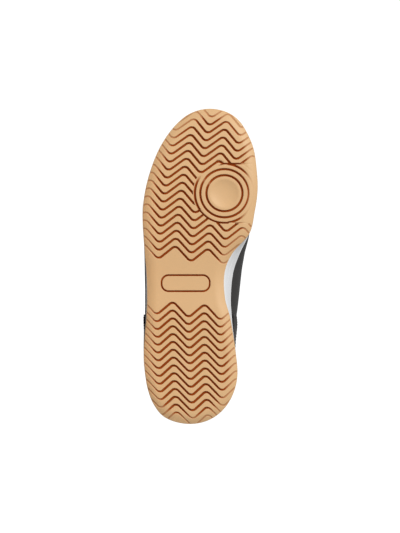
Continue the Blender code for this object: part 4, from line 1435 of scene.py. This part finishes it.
# Footbed. A moulded foam insole under smooth knitted cloth. It is dished at the heel and rises a little
# along its edge, and it lies loose in the cup.

INSOLE_BOTTOM = CUP_INSIDE + 0.3 * MM
# inset from the wall's rim and height over the insole's bottom, in mm, from the top's middle outward
FOOTBED_PROFILE = (
    (34, 3.6), (26, 3.65), (20, 3.8), (15, 4.1), (11.5, 4.6), (9.2, 5.1), (8.1, 5.25), (7.3, 5.05),
    (6.7, 4.4), (6.45, 3.4), (6.4, 0.4), (6.6, 0.0), (9.0, 0.0),
)
# the loops follow the outline down to BED_LOOP mm in, and from there shrink toward a middle line
BED_LOOP = 20
BED_MIDDLE = 22
bed_angles = np.linspace(-math.pi, math.pi, 321)[:-1]
rows = []
for distance, height in FOOTBED_PROFILE:
    loop = inset("wall", bed_angles, min(distance, BED_LOOP) * MM)
    if distance > BED_LOOP:
        middle_x = np.clip(loop[:, 0], along_of(0.14), along_of(0.88))
        centre_line = np.stack([middle_x, loop[:, 1] * 0 - 1 * MM], 1)
        loop = centre_line + (loop - centre_line) * (1 - (distance - BED_LOOP) / BED_MIDDLE)
    rows.append(raised(loop, INSOLE_BOTTOM + height * MM))
count = len(bed_angles)
faces = net_faces(len(rows), count, True)


def strips(count, start):
    """Closes a loop round the sole with straight strips from its medial to its lateral side."""
    made = []
    for j in range(count // 2):
        corners = []
        for index in (j, j + 1, count - j - 1, (count - j) % count):
            if start + index not in corners:
                corners.append(start + index)
        made.append(tuple(corners))
    return made


faces += strips(count, 0) + strips(count, count * (len(rows) - 1))
footbed = piece_from("footbed_cloth", np.concatenate(rows), faces)
flat = np.concatenate(rows)
net_uv(footbed, flat[:, 0], flat[:, 1])
footbed_knit = woven_finish("footbed_knit", srgb(96, 96, 94), srgb(66, 66, 64), 1.1 * MM, 0.92, 0.3)
footbed.data.materials.append(footbed_knit)
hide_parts("insole")
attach(footbed, "root")


# Stitching. Rows of thick waxed thread hold the eyestay and the counter, each stitch sunk a little at its
# ends. One stitch is modelled and laid along every seam, 3.1 mm apart.

STITCH_PITCH = 3.1 * MM
STITCH_LENGTH = 2.5 * MM
THREAD = 0.62 * MM
STITCH_RISE = 0.16 * MM
STITCH_SINK = 0.34 * MM
bpy.ops.object.select_all(action="DESELECT")
bpy.ops.mesh.primitive_uv_sphere_add(segments=10, ring_count=8, radius=0.5)
stitch = bpy.context.object
resize_in_edit((THREAD, THREAD, STITCH_LENGTH))
for vertex in stitch.data.vertices:
    x, y, z = vertex.co
    bow = STITCH_RISE - STITCH_SINK * (2 * z / STITCH_LENGTH) ** 4
    vertex.co = (z, y, -x + bow)


def seam(angles, t, lift):
    """Frames along a line of the upper's face, one for each stitch."""
    line = on_upper(angles, t, lift)
    normal = upper_normal(angles, t)
    walked = distances(line)
    frames = []
    for place in np.arange(STITCH_PITCH / 2, walked[-1], STITCH_PITCH):
        before, there, after = at_places(place + np.array([-0.5, 0, 0.5]) * MM, walked, line)
        frames.append(turn_onto(there, at_places(place, walked, normal), after - before))
    return frames


on_overlay = OVERLAY_FACE + 0.02 * MM
fine = np.linspace(-EYESTAY_END + 0.004, EYESTAY_END - 0.004, 700) * math.pi
frames = []
for inward in (2.0, 4.4):
    frames += seam(fine, step_below_top(fine, EYESTAY_WIDTH - inward * MM), on_overlay)
frames += seam(fine, step_below_top(fine, 2.2 * MM), on_overlay)
down = np.linspace(2.2, 16, 30) * MM
for side in (1, -1):
    around = np.full(30, side * (EYESTAY_END - 0.009) * math.pi)
    frames += seam(around, step_below_top(around, down), on_overlay)
counter_fine = np.linspace(COUNTER_START + 0.006, 2 - COUNTER_START - 0.006, 600) * math.pi
high = np.interp(counter_fine, counter_angles, counter_high)
long = np.linalg.norm(upper_face(counter_fine, high) - upper_face(counter_fine, COUNTER_LOW), axis=1)
for inward in (2.0, 4.4):
    t = high - (high - COUNTER_LOW) * np.minimum(inward * MM / long, 0.45)
    frames += seam(counter_fine, t, on_overlay)
stitches = copies("stitching", stitch, frames)


def thread_finish():
    paint = Paint(bpy.data.materials.new("waxed_thread"))
    twist = paint.noise(paint.place(), 1800.0, 2.0)
    return paint.shade({
        "Base Color": paint.mix(twist, srgb(60, 60, 58), srgb(92, 92, 90)),
        "Normal": paint.bump(twist, 0.4, 0.0001),
        "Roughness": 0.6,
    })


stitches.data.materials.append(thread_finish())
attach(stitches, "root")


# Floor, light and camera. A plain pale floor under soft studio light from the toe, the sole's side and
# above, and a camera square to the sole, rolled so that the toe points up in the picture.

bpy.ops.mesh.primitive_plane_add(size=60, location=(0, 0, 0))
floor = bpy.context.object
floor.name = "floor"
paint = Paint(bpy.data.materials.new("pale_floor"))
speckle = paint.noise(paint.place(), 3.0, 2.0)
seen = paint.add("LightPath", "Is Camera Ray", {})
floor.data.materials.append(paint.shade({
    "Base Color": paint.mix(speckle, (0.76, 0.76, 0.76, 1), (0.74, 0.74, 0.74, 1)),
    "Roughness": 0.95,
    "Specular IOR Level": 0.1,
    "Emission Color": (1, 1, 1, 1),
    "Emission Strength": paint.ramp(seen, to_stop=0.62),
}))
floor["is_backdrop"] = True

# white behind the shoe, and a softer light from all round on it
paint = Paint(bpy.data.worlds.new("studio"), "Background")
seen = paint.add("LightPath", "Is Camera Ray", {})
bpy.context.scene.world = paint.shade({
    "Color": (1, 1, 1, 1),
    "Strength": paint.ramp(seen, to_start=0.40, to_stop=1.1),
})

KEY_FROM = Vector((-0.50, -0.70, 0.50))
bpy.ops.object.light_add(type="SUN", location=KEY_FROM * 2)
key = bpy.context.object
key.name = "key"
key.data.energy = 2.3
key.data.angle = math.radians(14)
key.rotation_euler = (-KEY_FROM).to_track_quat("-Z", "Y").to_euler()

CAMERA_DISTANCE = 1.6
PICTURE_HEIGHT = 0.5042
AIM = LAID_DOWN @ Vector((0.5 * MM, -4.7 * MM, 0))
forward = LAID_DOWN.to_3x3() @ Vector((0, 0, 1))
picture_up = LAID_DOWN.to_3x3() @ Vector((-1, 0, 0))
picture_right = forward.cross(picture_up)
bpy.ops.object.camera_add(location=AIM - CAMERA_DISTANCE * forward)
camera = bpy.context.object
camera.rotation_euler = Matrix((picture_right, picture_up, -forward)).transposed().to_euler()
camera.data.sensor_width = 36
camera.data.lens = 36 * CAMERA_DISTANCE / PICTURE_HEIGHT
camera.data.clip_start = 0.01
bpy.context.scene.camera = camera
bpy.context.scene.view_settings.view_transform = "Standard"

low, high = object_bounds()
